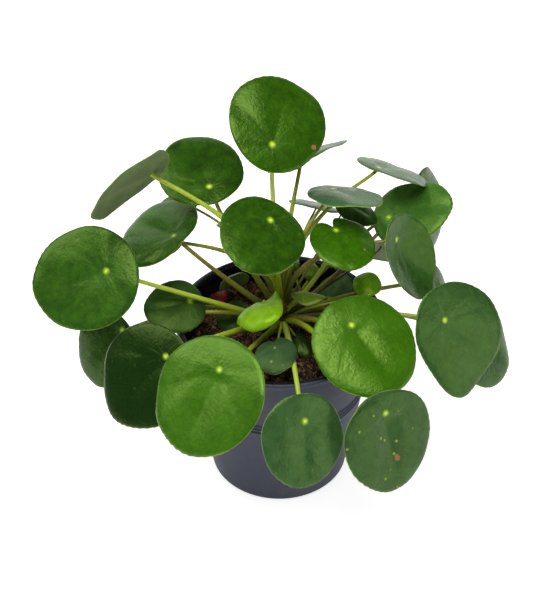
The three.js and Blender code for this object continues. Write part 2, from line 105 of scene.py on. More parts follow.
# Blades and stalks that differ from the usual: off is how far the blade's middle lies past its joint, egg
# how much narrower the tip half is, along and across the fall of its ends and sides, lobe a bulge of the
# edge, wave the height of the edge's three crests, notch a cleft from the base, arch and bend how steeply
# the stalk leaves the trunk and for how long, foot the height where it leaves, if not in the usual order,
# and stout how thick it is, as a share of the usual.
USUAL = dict(
    along=2, across=2, egg=0.05, off=0.23, lobe=0, lobe_at=0, wave=0.5, notch=0, arch=10, bend=0.4, foot=None,
    stout=1,
)
SHAPES = {
    "leaf_crown_1": dict(egg=-0.09, arch=-9),
    "leaf_crown_2": dict(egg=0.12),
    "leaf_crown_3": dict(off=0.08, arch=23, bend=0.7),
    "leaf_crown_4": dict(notch=0.85, wave=0.3, arch=-17, bend=0.7),
    "leaf_crown_5": dict(off=0.25, arch=37, bend=0.7),
    "leaf_left_1": dict(off=0.28, egg=0.07, arch=-17),
    "leaf_left_2": dict(off=0.34, egg=-0.1, arch=43, bend=0.55),
    "leaf_left_3": dict(off=0.32, lobe=0.1, lobe_at=116, arch=-13, bend=0.3),
    "leaf_left_4": dict(off=0.3, arch=35, bend=0.7),
    "leaf_left_5": dict(off=0.21, arch=0, bend=0.3, foot=103),
    "leaf_left_6": dict(off=0.39, arch=20, bend=0.7),
    "leaf_left_7": dict(off=0.27, egg=0.15),
    "leaf_left_8": dict(arch=61, bend=0.7, stout=1.8),
    "leaf_front_1": dict(off=0.29, egg=0.18, lobe=0.1, lobe_at=-85, arch=7, bend=0.7),
    "leaf_front_2": dict(arch=-9, bend=0.3),
    "leaf_front_3": dict(off=0.21, arch=15, bend=0.7),
    "leaf_front_4": dict(off=0.3, egg=0.15, arch=46),
    "leaf_right_1": dict(off=0.2, egg=-0.08, lobe=0.24, lobe_at=-63, arch=9, bend=0.7),
    "leaf_right_2": dict(arch=42),
    "leaf_right_3": dict(off=0.25, along=-5, across=-5.5, arch=53, bend=0.7),
    "leaf_right_4": dict(off=0.29, egg=0.12, across=3, arch=-14, bend=0.4),
    "leaf_right_5": dict(off=0.35, arch=51, bend=0.7),
    "leaf_right_6": dict(off=0.25, arch=20, stout=0.75),
    "leaf_right_7": dict(arch=19, stout=1.4),
    "leaf_right_8": dict(off=0.29),
    "leaf_right_9": dict(along=1),
    "leaf_back_1": dict(arch=35, bend=0.7, stout=0.8),
    "leaf_back_2": dict(stout=0.8),
    "leaf_back_3": dict(stout=0.8),
    "leaf_back_4": dict(stout=0.75),
    "leaf_back_5": dict(arch=24, stout=0.75),
    "leaf_back_6": dict(arch=58, stout=0.75),
    "leaf_inner_1": dict(across=7),
    "leaf_inner_2": dict(notch=0.5),
    "leaf_inner_4": dict(across=4),
    "leaf_inner_5": dict(off=0.36),
    "leaf_inner_6": dict(across=6),
}
# How each blade looks: skin is its kind of surface; tone runs from old deep green, 0, to fresh bright
# green, 1, and a little past both, which is painted shade below 0 and painted light above 1; the film's
# share gives the grey-green film, partly a waxy film and partly painted sheen, and on the underside a
# paler green that is painted light; speckle the share of pale dots; navel the strength of the bright
# spot; fold how deep the middle dips; scar a healed spot at x, y with its radius, in millimetres; and
# stalk the colour of the stalk: pale below 0, bright yellow green at 0, olive brown at 1 and dark at
# 1.5, where from about 1 up it is partly browner old skin and partly painted shade on stalks hidden
# among the leaves.
PLAIN = dict(skin="mature", tone=0.45, bloom=0.2, speckle=0.1, navel=1.0, fold=0.9, scar=None, stalk=0.3)
LOOKS = {
    "leaf_crown_1": dict(tone=0.5, bloom=0.0, fold=0.3, scar=(6.4, -22.4, 1.7), stalk=-0.5),
    "leaf_crown_2": dict(tone=0.42, bloom=0.0),
    "leaf_crown_3": dict(stalk=0.5),
    "leaf_crown_4": dict(tone=0.75, bloom=0.0, scar=(18, 8, 0.8), stalk=-0.1),
    "leaf_crown_5": dict(tone=0.6, bloom=0.9, stalk=0.6),
    "leaf_left_1": dict(tone=0.35, bloom=0.0, stalk=0.5),
    "leaf_left_2": dict(bloom=0.4, stalk=0.0),
    "leaf_left_3": dict(tone=0.5, bloom=0.0, navel=0.6, stalk=0.7),
    "leaf_left_4": dict(tone=0.7, bloom=0.0, stalk=0.4),
    "leaf_left_5": dict(tone=0.5, bloom=0.1, stalk=-0.1),
    "leaf_left_6": dict(tone=0.25, bloom=0.0, stalk=0.6),
    "leaf_left_7": dict(tone=0.15, bloom=0.05, skin="dusty"),
    "leaf_left_8": dict(stalk=0.55),
    # Painted shade: a tone below 0 darkens this blade, which lies in shade.
    "leaf_front_1": dict(tone=-0.3, bloom=0.0, navel=0.8),
    "leaf_front_2": dict(tone=0.8, bloom=0.05, fold=1.4, skin="glossy", stalk=0.5),
    "leaf_front_3": dict(tone=0.4, bloom=0.5, speckle=0.2, stalk=-0.2),
    "leaf_front_4": dict(tone=0.3, bloom=0.45, speckle=1.0, fold=2.4, scar=(27.5, 3.3, 2.0)),
    "leaf_front_5": dict(tone=0.9, bloom=0.0, fold=1.1, skin="glossy", stalk=0.7),
    "leaf_right_1": dict(tone=0.45, bloom=0.35, stalk=0.45),
    "leaf_right_2": dict(tone=0.45, bloom=0.4, stalk=1.0),
    "leaf_right_3": dict(tone=0.5, bloom=0.2, fold=1.4, stalk=0.8),
    # Painted light: a tone past 1 brightens this blade, which lies in the shade of leaf_right_5.
    "leaf_right_4": dict(tone=1.2, bloom=0.3, stalk=0.8),
    "leaf_right_5": dict(tone=0.5, bloom=0.7, stalk=0.5),
    "leaf_right_6": dict(tone=0.35, bloom=0.1, stalk=0.8),
    "leaf_right_7": dict(tone=0.4, bloom=0.15, stalk=0.6),
    "leaf_right_8": dict(tone=0.15, navel=0.4, skin="young"),
    # Painted shade: stalk values past 1 darken these stalks, hidden among the leaves, partly as browner old
    # skin.
    "leaf_right_9": dict(stalk=1.1),
    "leaf_back_1": dict(stalk=1.1),
    "leaf_back_2": dict(tone=0.1, bloom=0.1, navel=0.0, stalk=1.3),
    "leaf_back_3": dict(stalk=1.3),
    "leaf_back_4": dict(stalk=1.5),
    "leaf_back_5": dict(stalk=1.4),
    "leaf_back_6": dict(stalk=1.5),
    "leaf_inner_1": dict(tone=0.55, bloom=0.0, navel=0.7, skin="young"),
    "leaf_inner_2": dict(tone=0.1, bloom=0.5, speckle=0.8, navel=0.0, scar=(14, 3, 0.6), skin="dusty"),
    "leaf_inner_3": dict(tone=0.1, bloom=0.1, navel=0.3, skin="dusty"),
    # Painted light: a film share of 1.6 paints the underside pale, as if lit, though it lies in shade.
    "leaf_inner_4": dict(tone=0.6, bloom=1.6, navel=0.0),
    "leaf_inner_5": dict(tone=0.3, bloom=0.3, navel=0.6, skin="dusty"),
    "leaf_inner_6": dict(tone=0.0, navel=0.0, skin="bronzed"),
    # Painted shade: a tone below 0 and no bright spot darken this blade, which lies in shade.
    "leaf_inner_7": dict(tone=-0.2, bloom=0.0, navel=0.0, skin="dusty"),
    "leaf_offset_1": dict(tone=0.6, navel=0.1, skin="bronzed"),
    "leaf_offset_2": dict(navel=0.1),
    "leaf_offset_3": dict(navel=0.1),
}
# The young blade that is still folded, in millimetres: its two margins from base to tip, how far it rises
# over them and swells below them as shares of half its width, and the place of its bright spot.
FOLDED = dict(
    name="leaf_inner_1",
    upper=(
        (-1.9, -5.7, 133.2), (-4.6, -11.3, 131.8), (-7.9, -13.6, 130.4), (-12, -13, 128.4),
        (-16, -13.7, 126.6), (-19.2, -15, 125.2), (-22.7, -18.8, 123.6), (-23.8, -23.1, 123.1),
    ),
    lower=(
        (-1.9, -5.7, 133.2), (1.3, -18.8, 134.4), (1.2, -28, 134.2), (-2.2, -33, 132.9),
        (-8.6, -35.8, 129.9), (-14.6, -34.9, 127.1), (-19.8, -30.1, 124.8), (-23.8, -23.1, 123.1),
    ),
    rise=0.42, belly=0.3, navel=(-5.8, -24.6, 137.4),
)
# The trunk and the small stem beside it, in millimetres: the path of the middle, the radius at foot and
# tip, how long the bud is, and how far apart and how high the rings of old leaves are. sheath is the
# share of the length where the papery scales start.
TRUNK = dict(
    path=((3, 3, 74), (3, 3, 95), (2, 1.5, 106), (1, 0, 115), (-0.5, 0, 128)),
    foot=4.6, tip=3.4, bud=13, pitch=5, scar=0.35, sheath=0.78,
)
OFFSET_STEM = dict(
    path=((13.2, 32.8, 82), (13, 33, 95), (12.5, 34, 104)),
    foot=2, tip=1.4, bud=3, pitch=4, scar=0.15, sheath=0.8,
)
# The withered leaf: where it lies, how far its middle is over the potting mix, and its row of LEAVES and
# SHAPES.
FALLEN = dict(
    name="fallen_leaf", place=(-38, 29.5), lift=1.7, face=322, lean=16, tip=90, long=13, broad=9.5, along=-1,
    across=-1.2, phase=0.0, seed=50.0,
)
# The length in millimetres up to which a blade has fewer faces; the grooves of a blade, as angles from
# its tip with their depths; and its slow waves, as crests with their heights.
SMALL = 30
GROOVES = ((0, 0.17), (50, 0.12), (-50, 0.12), (115, 0.07), (-115, 0.07))
WAVES = ((2, 0.35), (4, 0.3), (5, 0.22), (7, 0.16), (11, 0.08))
# The studio, in metres: for each lamp where it stands, its width and height, and which value of
# MoneyPlantStudio is its power; what the lamps look at; and where the camera stands, what it looks at and
# its focal length in millimetres.
LAMPS = {
    "key_lamp": ((-0.02, -0.33, 1.2), 0.64, 0.64, "key"),
    "left_lamp": ((-0.74, 0.08, 0.95), 0.74, 0.74, "left"),
    "right_panel": ((1.25, -0.62, 0.36), 0.95, 0.7, "right"),
    "back_panel": ((0, 1.7, 0.75), 3.0, 1.5, "back"),
}
LAMPS_AIM = (0, 0, 0.12)
CAMERA = dict(place=(-0.00258, -0.5497, 0.5574), aim=(-0.00258, 0, 0.1239), lens=74.85)


# ---- small helpers ----


def linear(colour):
    """An sRGB hex colour as linear red, green, blue and alpha."""
    parts = [int(colour[i : i + 2], 16) / 255 for i in (1, 3, 5)]
    return tuple(c / 12.92 if c <= 0.04045 else ((c + 0.055) / 1.055) ** 2.4 for c in parts) + (1.0,)


def smooth(low, high, value):
    """0 below low, 1 above high, and 3t² - 2t³ between them."""
    t = np.clip((value - low) / (high - low), 0, 1)
    return t * t * (3 - 2 * t)


def bump(angle, middle, width):
    """A bell of height 1 round an angle: e to the minus square of the wrapped difference over width."""
    turn = np.arctan2(np.sin(angle - middle), np.cos(angle - middle))
    return np.exp(-((turn / width) ** 2))


def unit(v):
    """Vectors along the last axis, each divided by its length."""
    return v / np.linalg.norm(v, axis=-1, keepdims=True)


class Shell:
    """Points, faces and named values per point of one closed surface, or of several laid together."""

    def __init__(self, points, quads, triangles, **values):
        self.points, self.quads, self.triangles, self.values = points, quads, triangles, values

    @staticmethod
    def join(shells):
        """One shell from several: each one's point numbers are moved past the points before it."""
        starts = np.cumsum([0] + [len(s.points) for s in shells[:-1]])
        return Shell(
            np.concatenate([s.points for s in shells]),
            np.concatenate([s.quads + start for s, start in zip(shells, starts)]),
            np.concatenate([s.triangles + start for s, start in zip(shells, starts)]),
            **{name: np.concatenate([s.values[name] for s in shells]) for name in shells[0].values},
        )


def grid_shell(rings, first=None, last=None, loop=False, **values):
    """A shell from rings[row, column], whose columns close round. first and last are the poles that close
    its ends by fans of triangles; with loop, the last ring joins the first instead. values are arrays of
    one number per ring and column, with the poles' own numbers taken from the ring beside them."""
    rows, columns, _ = rings.shape
    index = np.arange(rows * columns).reshape(rows, columns)
    turned = np.roll(index, -1, axis=1)
    if loop:
        a, b, c, d = index, turned, np.roll(turned, -1, axis=0), np.roll(index, -1, axis=0)
    else:
        a, b, c, d = index[:-1], turned[:-1], turned[1:], index[1:]
    quads = np.stack([a, b, c, d], axis=-1).reshape(-1, 4)
    points = rings.reshape(-1, 3)
    fans = []
    flat = {name: value.reshape(-1) for name, value in values.items()}
    for pole, row, forward in ((first, 0, False), (last, -1, True)):
        if pole is None:
            continue
        top = np.full(columns, len(points))
        edge = (index[row], turned[row]) if forward else (turned[row], index[row])
        fans.append(np.stack([edge[0], edge[1], top], axis=-1))
        points = np.concatenate([points, np.reshape(pole, (1, 3))])
        flat = {name: np.append(flat[name], values[name][row].mean()) for name in flat}
    triangles = np.concatenate(fans) if fans else np.zeros((0, 3), int)
    return Shell(points, quads, triangles, **flat)


def put_in(name, shell, materials, material_of=None):
    """A new object whose mesh is the shell, in metres, with its values as attributes and smooth faces.
    material_of gives each face's material number; the faces are the quads and then the triangles."""
    mesh = bpy.data.meshes.new(name)
    mesh.vertices.add(len(shell.points))
    mesh.vertices.foreach_set("co", (shell.points * MM).astype(np.float32).ravel())
    corners = np.concatenate([shell.quads.ravel(), shell.triangles.ravel()])
    fours, threes = len(shell.quads), len(shell.triangles)
    starts = np.concatenate([np.arange(fours) * 4, fours * 4 + np.arange(threes) * 3])
    mesh.loops.add(len(corners))
    mesh.loops.foreach_set("vertex_index", corners.astype(np.int32))
    mesh.polygons.add(len(starts))
    mesh.polygons.foreach_set("loop_start", starts.astype(np.int32))
    mesh.update(calc_edges=True)
    for key, value in shell.values.items():
        attribute = mesh.attributes.new(key, "FLOAT", "POINT")
        attribute.data.foreach_set("value", value.astype(np.float32))
    for material in materials:
        mesh.materials.append(material)
    if material_of is not None:
        mesh.polygons.foreach_set("material_index", material_of.astype(np.int32))
    mesh.shade_smooth()
    mesh.validate()
    thing = bpy.data.objects.new(name, mesh)
    bpy.context.scene.collection.objects.link(thing)
    return thing


def dress(thing, slot, *nodes):
    """The piece rides on the plant's one body and stands for its solids, which are hidden. slot is not used.
    """
    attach(thing, "root")
    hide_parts(*nodes)


# ---- materials ----
# Settings of Math and Map Range nodes. Scaled is the first times the second plus the third.
TIMES, PLUS, SCALED = ({"operation": name} for name in ("MULTIPLY", "ADD", "MULTIPLY_ADD"))
SMOOTH = {"interpolation_type": "SMOOTHSTEP"}
# The film colour is partly a waxy film and partly painted sheen; under_lit is a paler green, painted light on
# the underside.
MATURE = dict(
    deep="#112d0a", fresh="#3e7503", film_and_sheen="#4c6f4c", pale="#8fae6c", dot="#a9b84a", halo="#9fd41a",
    navel="#eef27a", edge="#8fae4a", scar="#a0704c", under="#505f34", under_pale="#6c7b54",
    under_vein="#93a077", under_lit="#aebd92",
)
FRESH = dict(
    deep="#5c9a0a", fresh="#a6d81e", film_and_sheen="#8db530", pale="#c4db6a", dot="#b8cc4a", halo="#a8cc28",
    navel="#e0ea70", edge="#b08a34", scar="#8a5636", under="#6c7f1c", under_pale="#8a9a3c",
    under_vein="#a9b54c", under_lit="#aebd92",
)
BRONZED = {**FRESH, "deep": "#3c4a12", "fresh": "#6c8a22", "edge": "#7a4a1c", "under": "#4c5a1a"}


def add_node(tree, kind, *inputs, out=0, **settings):
    """Adds a node and gives back one of its outputs. inputs fill its sockets in their order. A setting that
    starts with a capital fills the socket of that name, with _ for a space, and any other is the node's own
    property. A socket takes a value or another node's output."""
    made = tree.nodes.new("ShaderNode" + kind)
    sockets = dict(enumerate(inputs))
    for name, value in settings.items():
        if name[0].isupper():
            sockets[name.replace("_", " ")] = value
        else:
            setattr(made, name, value)
    for socket, value in sockets.items():
        if isinstance(value, bpy.types.NodeSocket):
            tree.links.new(value, made.inputs[socket])
        else:
            made.inputs[socket].default_value = value
    return made.outputs[out] if made.outputs else None


def new_material(name):
    """An empty node material, and add_node for its tree."""
    material = bpy.data.materials.new(name)
    material.use_nodes = True
    material.node_tree.nodes.clear()
    return material, partial(add_node, material.node_tree)


def finish(add, colour, relief, depth, **sockets):
    """The Principled shader and the output, with relief as a bump of that depth in metres. Constants go
    straight to the shader's own sockets."""
    bump_map = add("Bump", Height=relief, Distance=depth, Strength=1.0)
    add("OutputMaterial", Surface=add("BsdfPrincipled", Base_Color=colour, Normal=bump_map, **sockets))


def blade_material(name, colours, *more):
    """An empty material for a blade and add_node for it; the blade's values that both sides read, and
    more of them; its colours; and the place on it."""
    material, add = new_material(name)
    both = ("blade_x", "blade_y", "seed", "reach", "share", "bloom")
    value = {key: add("Attribute", attribute_name=key, out="Fac") for key in (*both, *more)}
    shade = {key: linear(colour) for key, colour in colours.items()}
    return material, add, value, shade, add("CombineXYZ", value["blade_x"], value["blade_y"], value["seed"])


def spokes(add, value, rise):
    """The place on the blade as a point on a ring of radius 1, lifted by rise times its distance from the
    joint, so that noise read there runs in spokes."""
    ring = add("VectorMath", add("CombineXYZ", value["blade_x"], value["blade_y"]), operation="NORMALIZE")
    lift = add("CombineXYZ", 0.0, 0.0, add("Math", value["reach"], rise, **TIMES))
    return add("VectorMath", ring, lift, **PLUS)


def leaf_upper(name, colours, roughness, gloss=0.52):
    """Upper side of a living blade: thick, smooth cuticle with a grey-green film over deep green, partly a
    waxy film and partly painted sheen. The eye sees green in clouds of 13 mm and cells of 4 mm, a net of
    veins 5 mm wide, a bright yellow dot where the stalk meets it, spokes that fade outwards, wrinkles that
    break up a broad soft sheen, and a thin pale edge in places. The wrinkles are 1.6 mm apart, coarser
    than the real ones, so that they show."""
    own = ("tone", "speckle", "navel", "scar")
    material, add, value, shade, here = blade_material(name, colours, *own)
    reach = value["reach"]
    cloud, cells, grain = (add("TexNoise", here, Scale=1 / (size * MM)) for size in (13, 4.2, 1.6))
    streak = add("TexNoise", spokes(add, value, 6.0), Scale=1 / 0.17, Detail=3.0, Roughness=0.55)

    tone = add("Math", cells, 0.6, add("Math", cloud, 0.45, value["tone"], **SCALED), **SCALED)
    green = add("MixRGB", add("MapRange", tone, 0.425, 1.625, **SMOOTH), shade["deep"], shade["fresh"])

    shift = add("CombineXYZ", add("Math", cells, 4 * MM, **TIMES), add("Math", grain, 2 * MM, **TIMES))
    bent = add("VectorMath", here, shift, **PLUS)
    gap = add("TexVoronoi", bent, Scale=1 / (4.6 * MM), feature="DISTANCE_TO_EDGE", out="Distance")
    net = add("MapRange", gap, 0.0, 0.13, 1.0, 0.0, **SMOOTH)
    green = add("MixRGB", add("Math", net, 0.2, **TIMES), green, shade["deep"])

    # The grey-green film in patches, partly a waxy film and partly painted sheen.
    cover = add("Math", cells, 0.5, add("Math", cloud, 0.5, **TIMES), **SCALED)
    cover = add("Math", value["bloom"], add("MapRange", cover, 0.3, 0.62, 0.6, 1.0, **SMOOTH), **TIMES)
    green = add("MixRGB", cover, green, shade["film_and_sheen"])

    fade = add("MapRange", reach, 2 * MM, 15 * MM, 0.2, 0.0, **SMOOTH)
    ray = add("Math", add("MapRange", streak, 0.52, 0.7, **SMOOTH), fade, **TIMES)
    green = add("MixRGB", ray, green, shade["pale"])

    spot = add("TexVoronoi", here, Scale=1 / (7 * MM), feature="F1", out="Distance")
    spot = add("Math", add("MapRange", spot, 0.07, 0.15, 0.8, 0.0, **SMOOTH), value["speckle"], **TIMES)
    green = add("MixRGB", spot, green, shade["dot"])
    for key, near, far, most in (("halo", 0.7, 2.7, 0.95), ("navel", 0.4, 1.3, 1.0)):
        disc = add("MapRange", reach, near * MM, far * MM, most, 0.0, **SMOOTH)
        green = add("MixRGB", add("Math", value["navel"], disc, **TIMES), green, shade[key])

    patches = add("MapRange", add("TexNoise", here, Scale=1 / (9 * MM)), 0.42, 0.6, 0.1, 0.8, **SMOOTH)
    rim = add("Math", add("MapRange", value["share"], 0.984, 0.996, **SMOOTH), patches, **TIMES)
    green = add("MixRGB", rim, green, shade["edge"])
    scar = add("MapRange", add("Math", grain, 0.7, value["scar"], **SCALED), 0.7, 0.95, **SMOOTH)
    green = add("MixRGB", scar, green, shade["scar"])

    wrinkle = add("Math", grain, 0.6, add("Math", cells, 0.8, **TIMES), **SCALED)
    wrinkle = add("Math", net, -0.07, wrinkle, **SCALED)
    fade = add("MapRange", reach, 2 * MM, 22 * MM, 0.75, 0.25, **SMOOTH)
    wrinkle = add("Math", streak, fade, wrinkle, **SCALED)
    shine = add("Math", grain, 0.3, cloud, **SCALED)
    shine = add("MapRange", shine, 0.35, 0.85, roughness - 0.04, roughness + 0.06, **SMOOTH)
    sheen = dict(Roughness=shine, IOR=1.5, Specular_Tint=linear("#d4ff80"), Specular_IOR_Level=gloss)
    finish(add, green, wrinkle, 0.23 * MM, **sheen)
    return material


def leaf_under(name, colours):
    """Underside of a blade: matt, paler and greyer than the upper side, in clouds of 9 mm, with soft raised
    spokes of veins. Some light comes through it. Where the film's share is high it is painted paler
    still, painted light."""
    material, add, value, shade, here = blade_material(name, colours)
    cloud = add("TexNoise", here, Scale=1 / (9 * MM), Detail=3.0)
    streak = add("TexNoise", spokes(add, value, 5.0), Scale=1 / 0.09)
    fade = add("MapRange", value["reach"], 2 * MM, 24 * MM, 0.5, 0.0, **SMOOTH)
    # The film's share paints the under_lit green in: painted light on the underside.
    layers = (
        (add("Math", value["bloom"], 0.6, **TIMES), "under_lit"),
        (add("Math", add("MapRange", streak, 0.52, 0.66, **SMOOTH), fade, **TIMES), "under_vein"),
        (add("MapRange", value["share"], 0.96, 0.99, 0.0, 0.6, **SMOOTH), "edge"),
    )
    green = add("MixRGB", add("MapRange", cloud, 0.3, 0.7, **SMOOTH), shade["under"], shade["under_pale"])
    for cover, key in layers:
        green = add("MixRGB", cover, green, shade[key])
    relief = add("Math", streak, 0.8, cloud, **SCALED)
    lit_through = dict(Subsurface_Weight=0.5, Subsurface_Radius=(0.6, 1.0, 0.25), Subsurface_Scale=1.2 * MM)
    tint = linear("#dcffa8")
    finish(add, green, relief, 0.2 * MM, Roughness=0.55, IOR=1.45, Specular_Tint=tint, **lit_through)
    return material


def petiole_skin():
    """Leaf stalk: smooth glossy green skin, browner towards the trunk, with patches of 20 mm and a grain of
    1.6 mm drawn out along the stalk. It is darker towards the trunk and on stalks hidden among the leaves,
    partly browner old skin and partly painted shade."""
    material, add = new_material("petiole_skin")
    tone, along = (add("Attribute", attribute_name=key, out="Fac") for key in ("tone", "along"))
    place = add("TexCoord", out="Object")
    drawn = add("Mapping", place, Scale=(1.0, 1.0, 0.25))
    grain = add("TexNoise", drawn, Scale=1 / (1.6 * MM), Detail=3.0)
    age_and_shade = add("Math", add("TexNoise", place, Scale=1 / (20 * MM)), 0.5, tone, **SCALED)
    foot = add("MapRange", along, 0.0, 0.34, 1.0, 0.0, **SMOOTH)
    layers = (
        (add("MapRange", grain, 0.45, 0.7, 0.0, 0.2, **SMOOTH), "#cbd850"),
        # Painted shade: the stalks hidden among the leaves turn dark past 1.25.
        (add("MapRange", age_and_shade, 1.25, 1.85, **SMOOTH), "#3f3a16"),
        (add("MapRange", tone, -0.6, 0.1, 1.0, 0.0, **SMOOTH), "#d3e272"),
        # Darker at the foot near the trunk: partly browner old skin, partly painted shade under the leaves.
        (add("Math", foot, add("MapRange", tone, -0.2, 0.8, 0.25, 0.95, **SMOOTH), **TIMES), "#3d4216"),
        (add("MapRange", along, 0.93, 1.0, 0.0, 0.6, **SMOOTH), "#b4cf3c"),
    )
    green = add("MixRGB", add("MapRange", age_and_shade, 0.25, 1.25, **SMOOTH), linear("#b2ca20"), linear("#7a6c2c"))
    for cover, colour in layers:
        green = add("MixRGB", cover, green, linear(colour))
    finish(add, green, grain, 0.1 * MM, Roughness=0.3, IOR=1.45)
    return material


def trunk_bark():
    """Young trunk: greenish brown corky skin with a grain of 1.8 mm."""
    material, add = new_material("trunk_bark")
    grain = add("TexNoise", add("TexCoord", out="Object"), Scale=1 / (1.8 * MM), Detail=4.0, Roughness=0.65)
    brown = add("MixRGB", add("MapRange", grain, 0.35, 0.65, **SMOOTH), linear("#3b2f16"), linear("#6d5a2c"))
    finish(add, brown, grain, 0.6 * MM, Roughness=0.6)
    return material


def stipule_scale():
    """Papery scale at the growing tip: thin, dry edged, orange green, with a grain of 1 mm."""
    material, add = new_material("stipule_scale")
    tip = add("MapRange", add("Attribute", attribute_name="along", out="Fac"), 0.76, 0.97, **SMOOTH)
    tan = add("MixRGB", tip, linear("#6a4a18"), linear("#c2811c"))
    grain = add("TexNoise", add("TexCoord", out="Object"), Scale=1 / (1 * MM))
    finish(add, tan, grain, 0.1 * MM, Roughness=0.45)
    return material


def withered_blade():
    """Dead blade: dry, crumpled and dark red brown in clouds of 5 mm, with creases 1.5 mm apart and a
    leathery gloss left on its folds."""
    material, add = new_material("withered_blade")
    x, y = (add("Attribute", attribute_name=key, out="Fac") for key in ("blade_x", "blade_y"))
    here = add("CombineXYZ", x, y)
    cloud, creases = (add("TexNoise", here, Scale=1 / (size * MM), Detail=3.0) for size in (5, 1.5))
    red = add("MixRGB", add("MapRange", cloud, 0.35, 0.65, **SMOOTH), linear("#3c0a0a"), linear("#8e1f1c"))
    finish(add, red, creases, 0.5 * MM, Roughness=0.42)
    return material


def pot_outside(colour):
    """Thermoformed polypropylene, outside: satin blue grey, with the upright streaks, 1.1 mm wide, that the
    sheet gets as it is drawn down the mould, and light rub marks of 14 mm."""
    material, add = new_material("polypropylene_grey")
    place = add("TexCoord", out="Object")
    streak = add("TexNoise", add("Mapping", place, Scale=(1.0, 1.0, 0.02)), Scale=1 / (1.1 * MM))
    scuff = add("TexNoise", place, Scale=1 / (14 * MM), Detail=4.0, Roughness=0.6)
    grey = add("MixRGB", add("MapRange", streak, 0.3, 0.7, 0.0, 0.14, **SMOOTH), colour, linear("#3c3e4a"))
    grey = add("MixRGB", add("MapRange", scuff, 0.5, 0.8, 0.0, 0.18, **SMOOTH), grey, linear("#777984"))
    shine = add("MapRange", scuff, 0.3, 0.7, 0.4, 0.5, **SMOOTH)
    relief = add("Math", scuff, 0.3, streak, **SCALED)
    finish(add, grey, relief, 0.12 * MM, Roughness=shine, IOR=1.49, Specular_IOR_Level=0.18)
    return material


def pot_inside():
    """Thermoformed polypropylene, inside and lip: glossy near-black sheet laminated to the grey one, with
    rub marks of 9 mm."""
    material, add = new_material("polypropylene_black")
    scuff = add("TexNoise", add("TexCoord", out="Object"), Scale=1 / (9 * MM), Detail=3.0)
    black = add("MixRGB", add("MapRange", scuff, 0.4, 0.7, **SMOOTH), linear("#0c0e15"), linear("#161923"))
    shine = add("MapRange", scuff, 0.3, 0.7, 0.24, 0.34, **SMOOTH)
    finish(add, black, scuff, 0.1 * MM, Roughness=shine, IOR=1.49)
    return material


def peat():
    """Damp peat under the loose bits: almost black brown crumbs of 2 mm."""
    material, add = new_material("damp_peat")
    crumb = add("TexNoise", add("TexCoord", out="Object"), Scale=1 / (2.2 * MM), Detail=5.0, Roughness=0.7)
    brown = add("MixRGB", add("MapRange", crumb, 0.4, 0.65, **SMOOTH), linear("#080504"), linear("#2c1c12"))
    finish(add, brown, crumb, 1.5 * MM, Roughness=0.9)
    return material


def coir_and_bark():
    """Coir fibres, peat crumbs and bark chips: from black brown to straw, each bit in its own shade,
    mottled at 2 mm and rough at 0.7 mm."""
    material, add = new_material("coir_and_bark")
    place = add("TexCoord", out="Object")
    mottle, rough = (add("TexNoise", place, Scale=1 / (size * MM), Detail=3.0) for size in (2, 0.7))
    shade = add("Math", mottle, 0.4, add("Attribute", attribute_name="shade", out="Fac"), **SCALED)
    brown = add("MixRGB", add("MapRange", shade, 0.3, 0.75, **SMOOTH), linear("#1c120b"), linear("#7a5230"))
    brown = add("MixRGB", add("MapRange", shade, 0.8, 1.15, **SMOOTH), brown, linear("#d0a878"))
    finish(add, brown, rough, 0.3 * MM, Roughness=0.85)
    return material


def studio_floor(glow):
    """Seamless white paper that glows, painted light: its glow rises from the given glow near the pot to
    0.95 far off, which makes up for the lamps that fade with distance, so the eye sees pure white away
    from the pot, with a soft faint shadow round it. The paper lights the plant by less than half of what
    is seen."""
    material, add = new_material("white_paper")
    far = add("VectorMath", add("TexCoord", out="Object"), operation="LENGTH", out="Value")
    seen = add("MapRange", add("LightPath", out="Is Camera Ray"), 0.0, 1.0, 0.45, 1.0, **SMOOTH)
    lit = add("Math", add("MapRange", far, 0.08, 0.5, glow, 0.95, **SMOOTH), seen, **TIMES)
    paper = dict(Base_Color=linear("#f2f2f2"), Roughness=0.9, Emission_Color=(1, 1, 1, 1))
    add("OutputMaterial", Surface=add("BsdfPrincipled", **paper, Emission_Strength=lit))
    return material


# ---- shapes ----


def leaf_row(name, number_in_table):
    """The leaf's rows of all the tables with the usual values filled in. phase turns its edge wave
    round."""
    at, face, lean, tip, long, broad = LEAVES[name]
    row = {**USUAL, **PLAIN, **SHAPES.get(name, {}), **LOOKS.get(name, {})}
    row.update(name=name, at=np.array(at, float), face=face, lean=lean, tip=tip, long=long, broad=broad)
    row.update(phase=2.4 * number_in_table, seed=float(number_in_table))
    return row


def blade_axes(leaf):
    """normal out of the upper side, tip along the blade and side across it, from its bearing, lean and
    turn."""
    face, lean, turn = np.radians([leaf["face"], leaf["lean"], leaf["tip"]])
    out, up = np.array([math.cos(face), math.sin(face), 0]), np.array([0, 0, 1.0])
    normal = out * math.sin(lean) + up * math.cos(lean)
    downhill = out * math.cos(lean) - up * math.sin(lean)
    tip = downhill * math.cos(turn) + np.cross(normal, downhill) * math.sin(turn)
    return normal, tip, np.cross(normal, tip)


def blade_fall(leaf, x, y):
    """Fall from the blade's middle: along and across times the squares of the shares of its half length and
    half breadth."""
    along = (x - leaf["off"] * leaf["long"]) / (leaf["long"] / 2)
    return leaf["along"] * along**2 + leaf["across"] * (y / (leaf["broad"] / 2)) ** 2


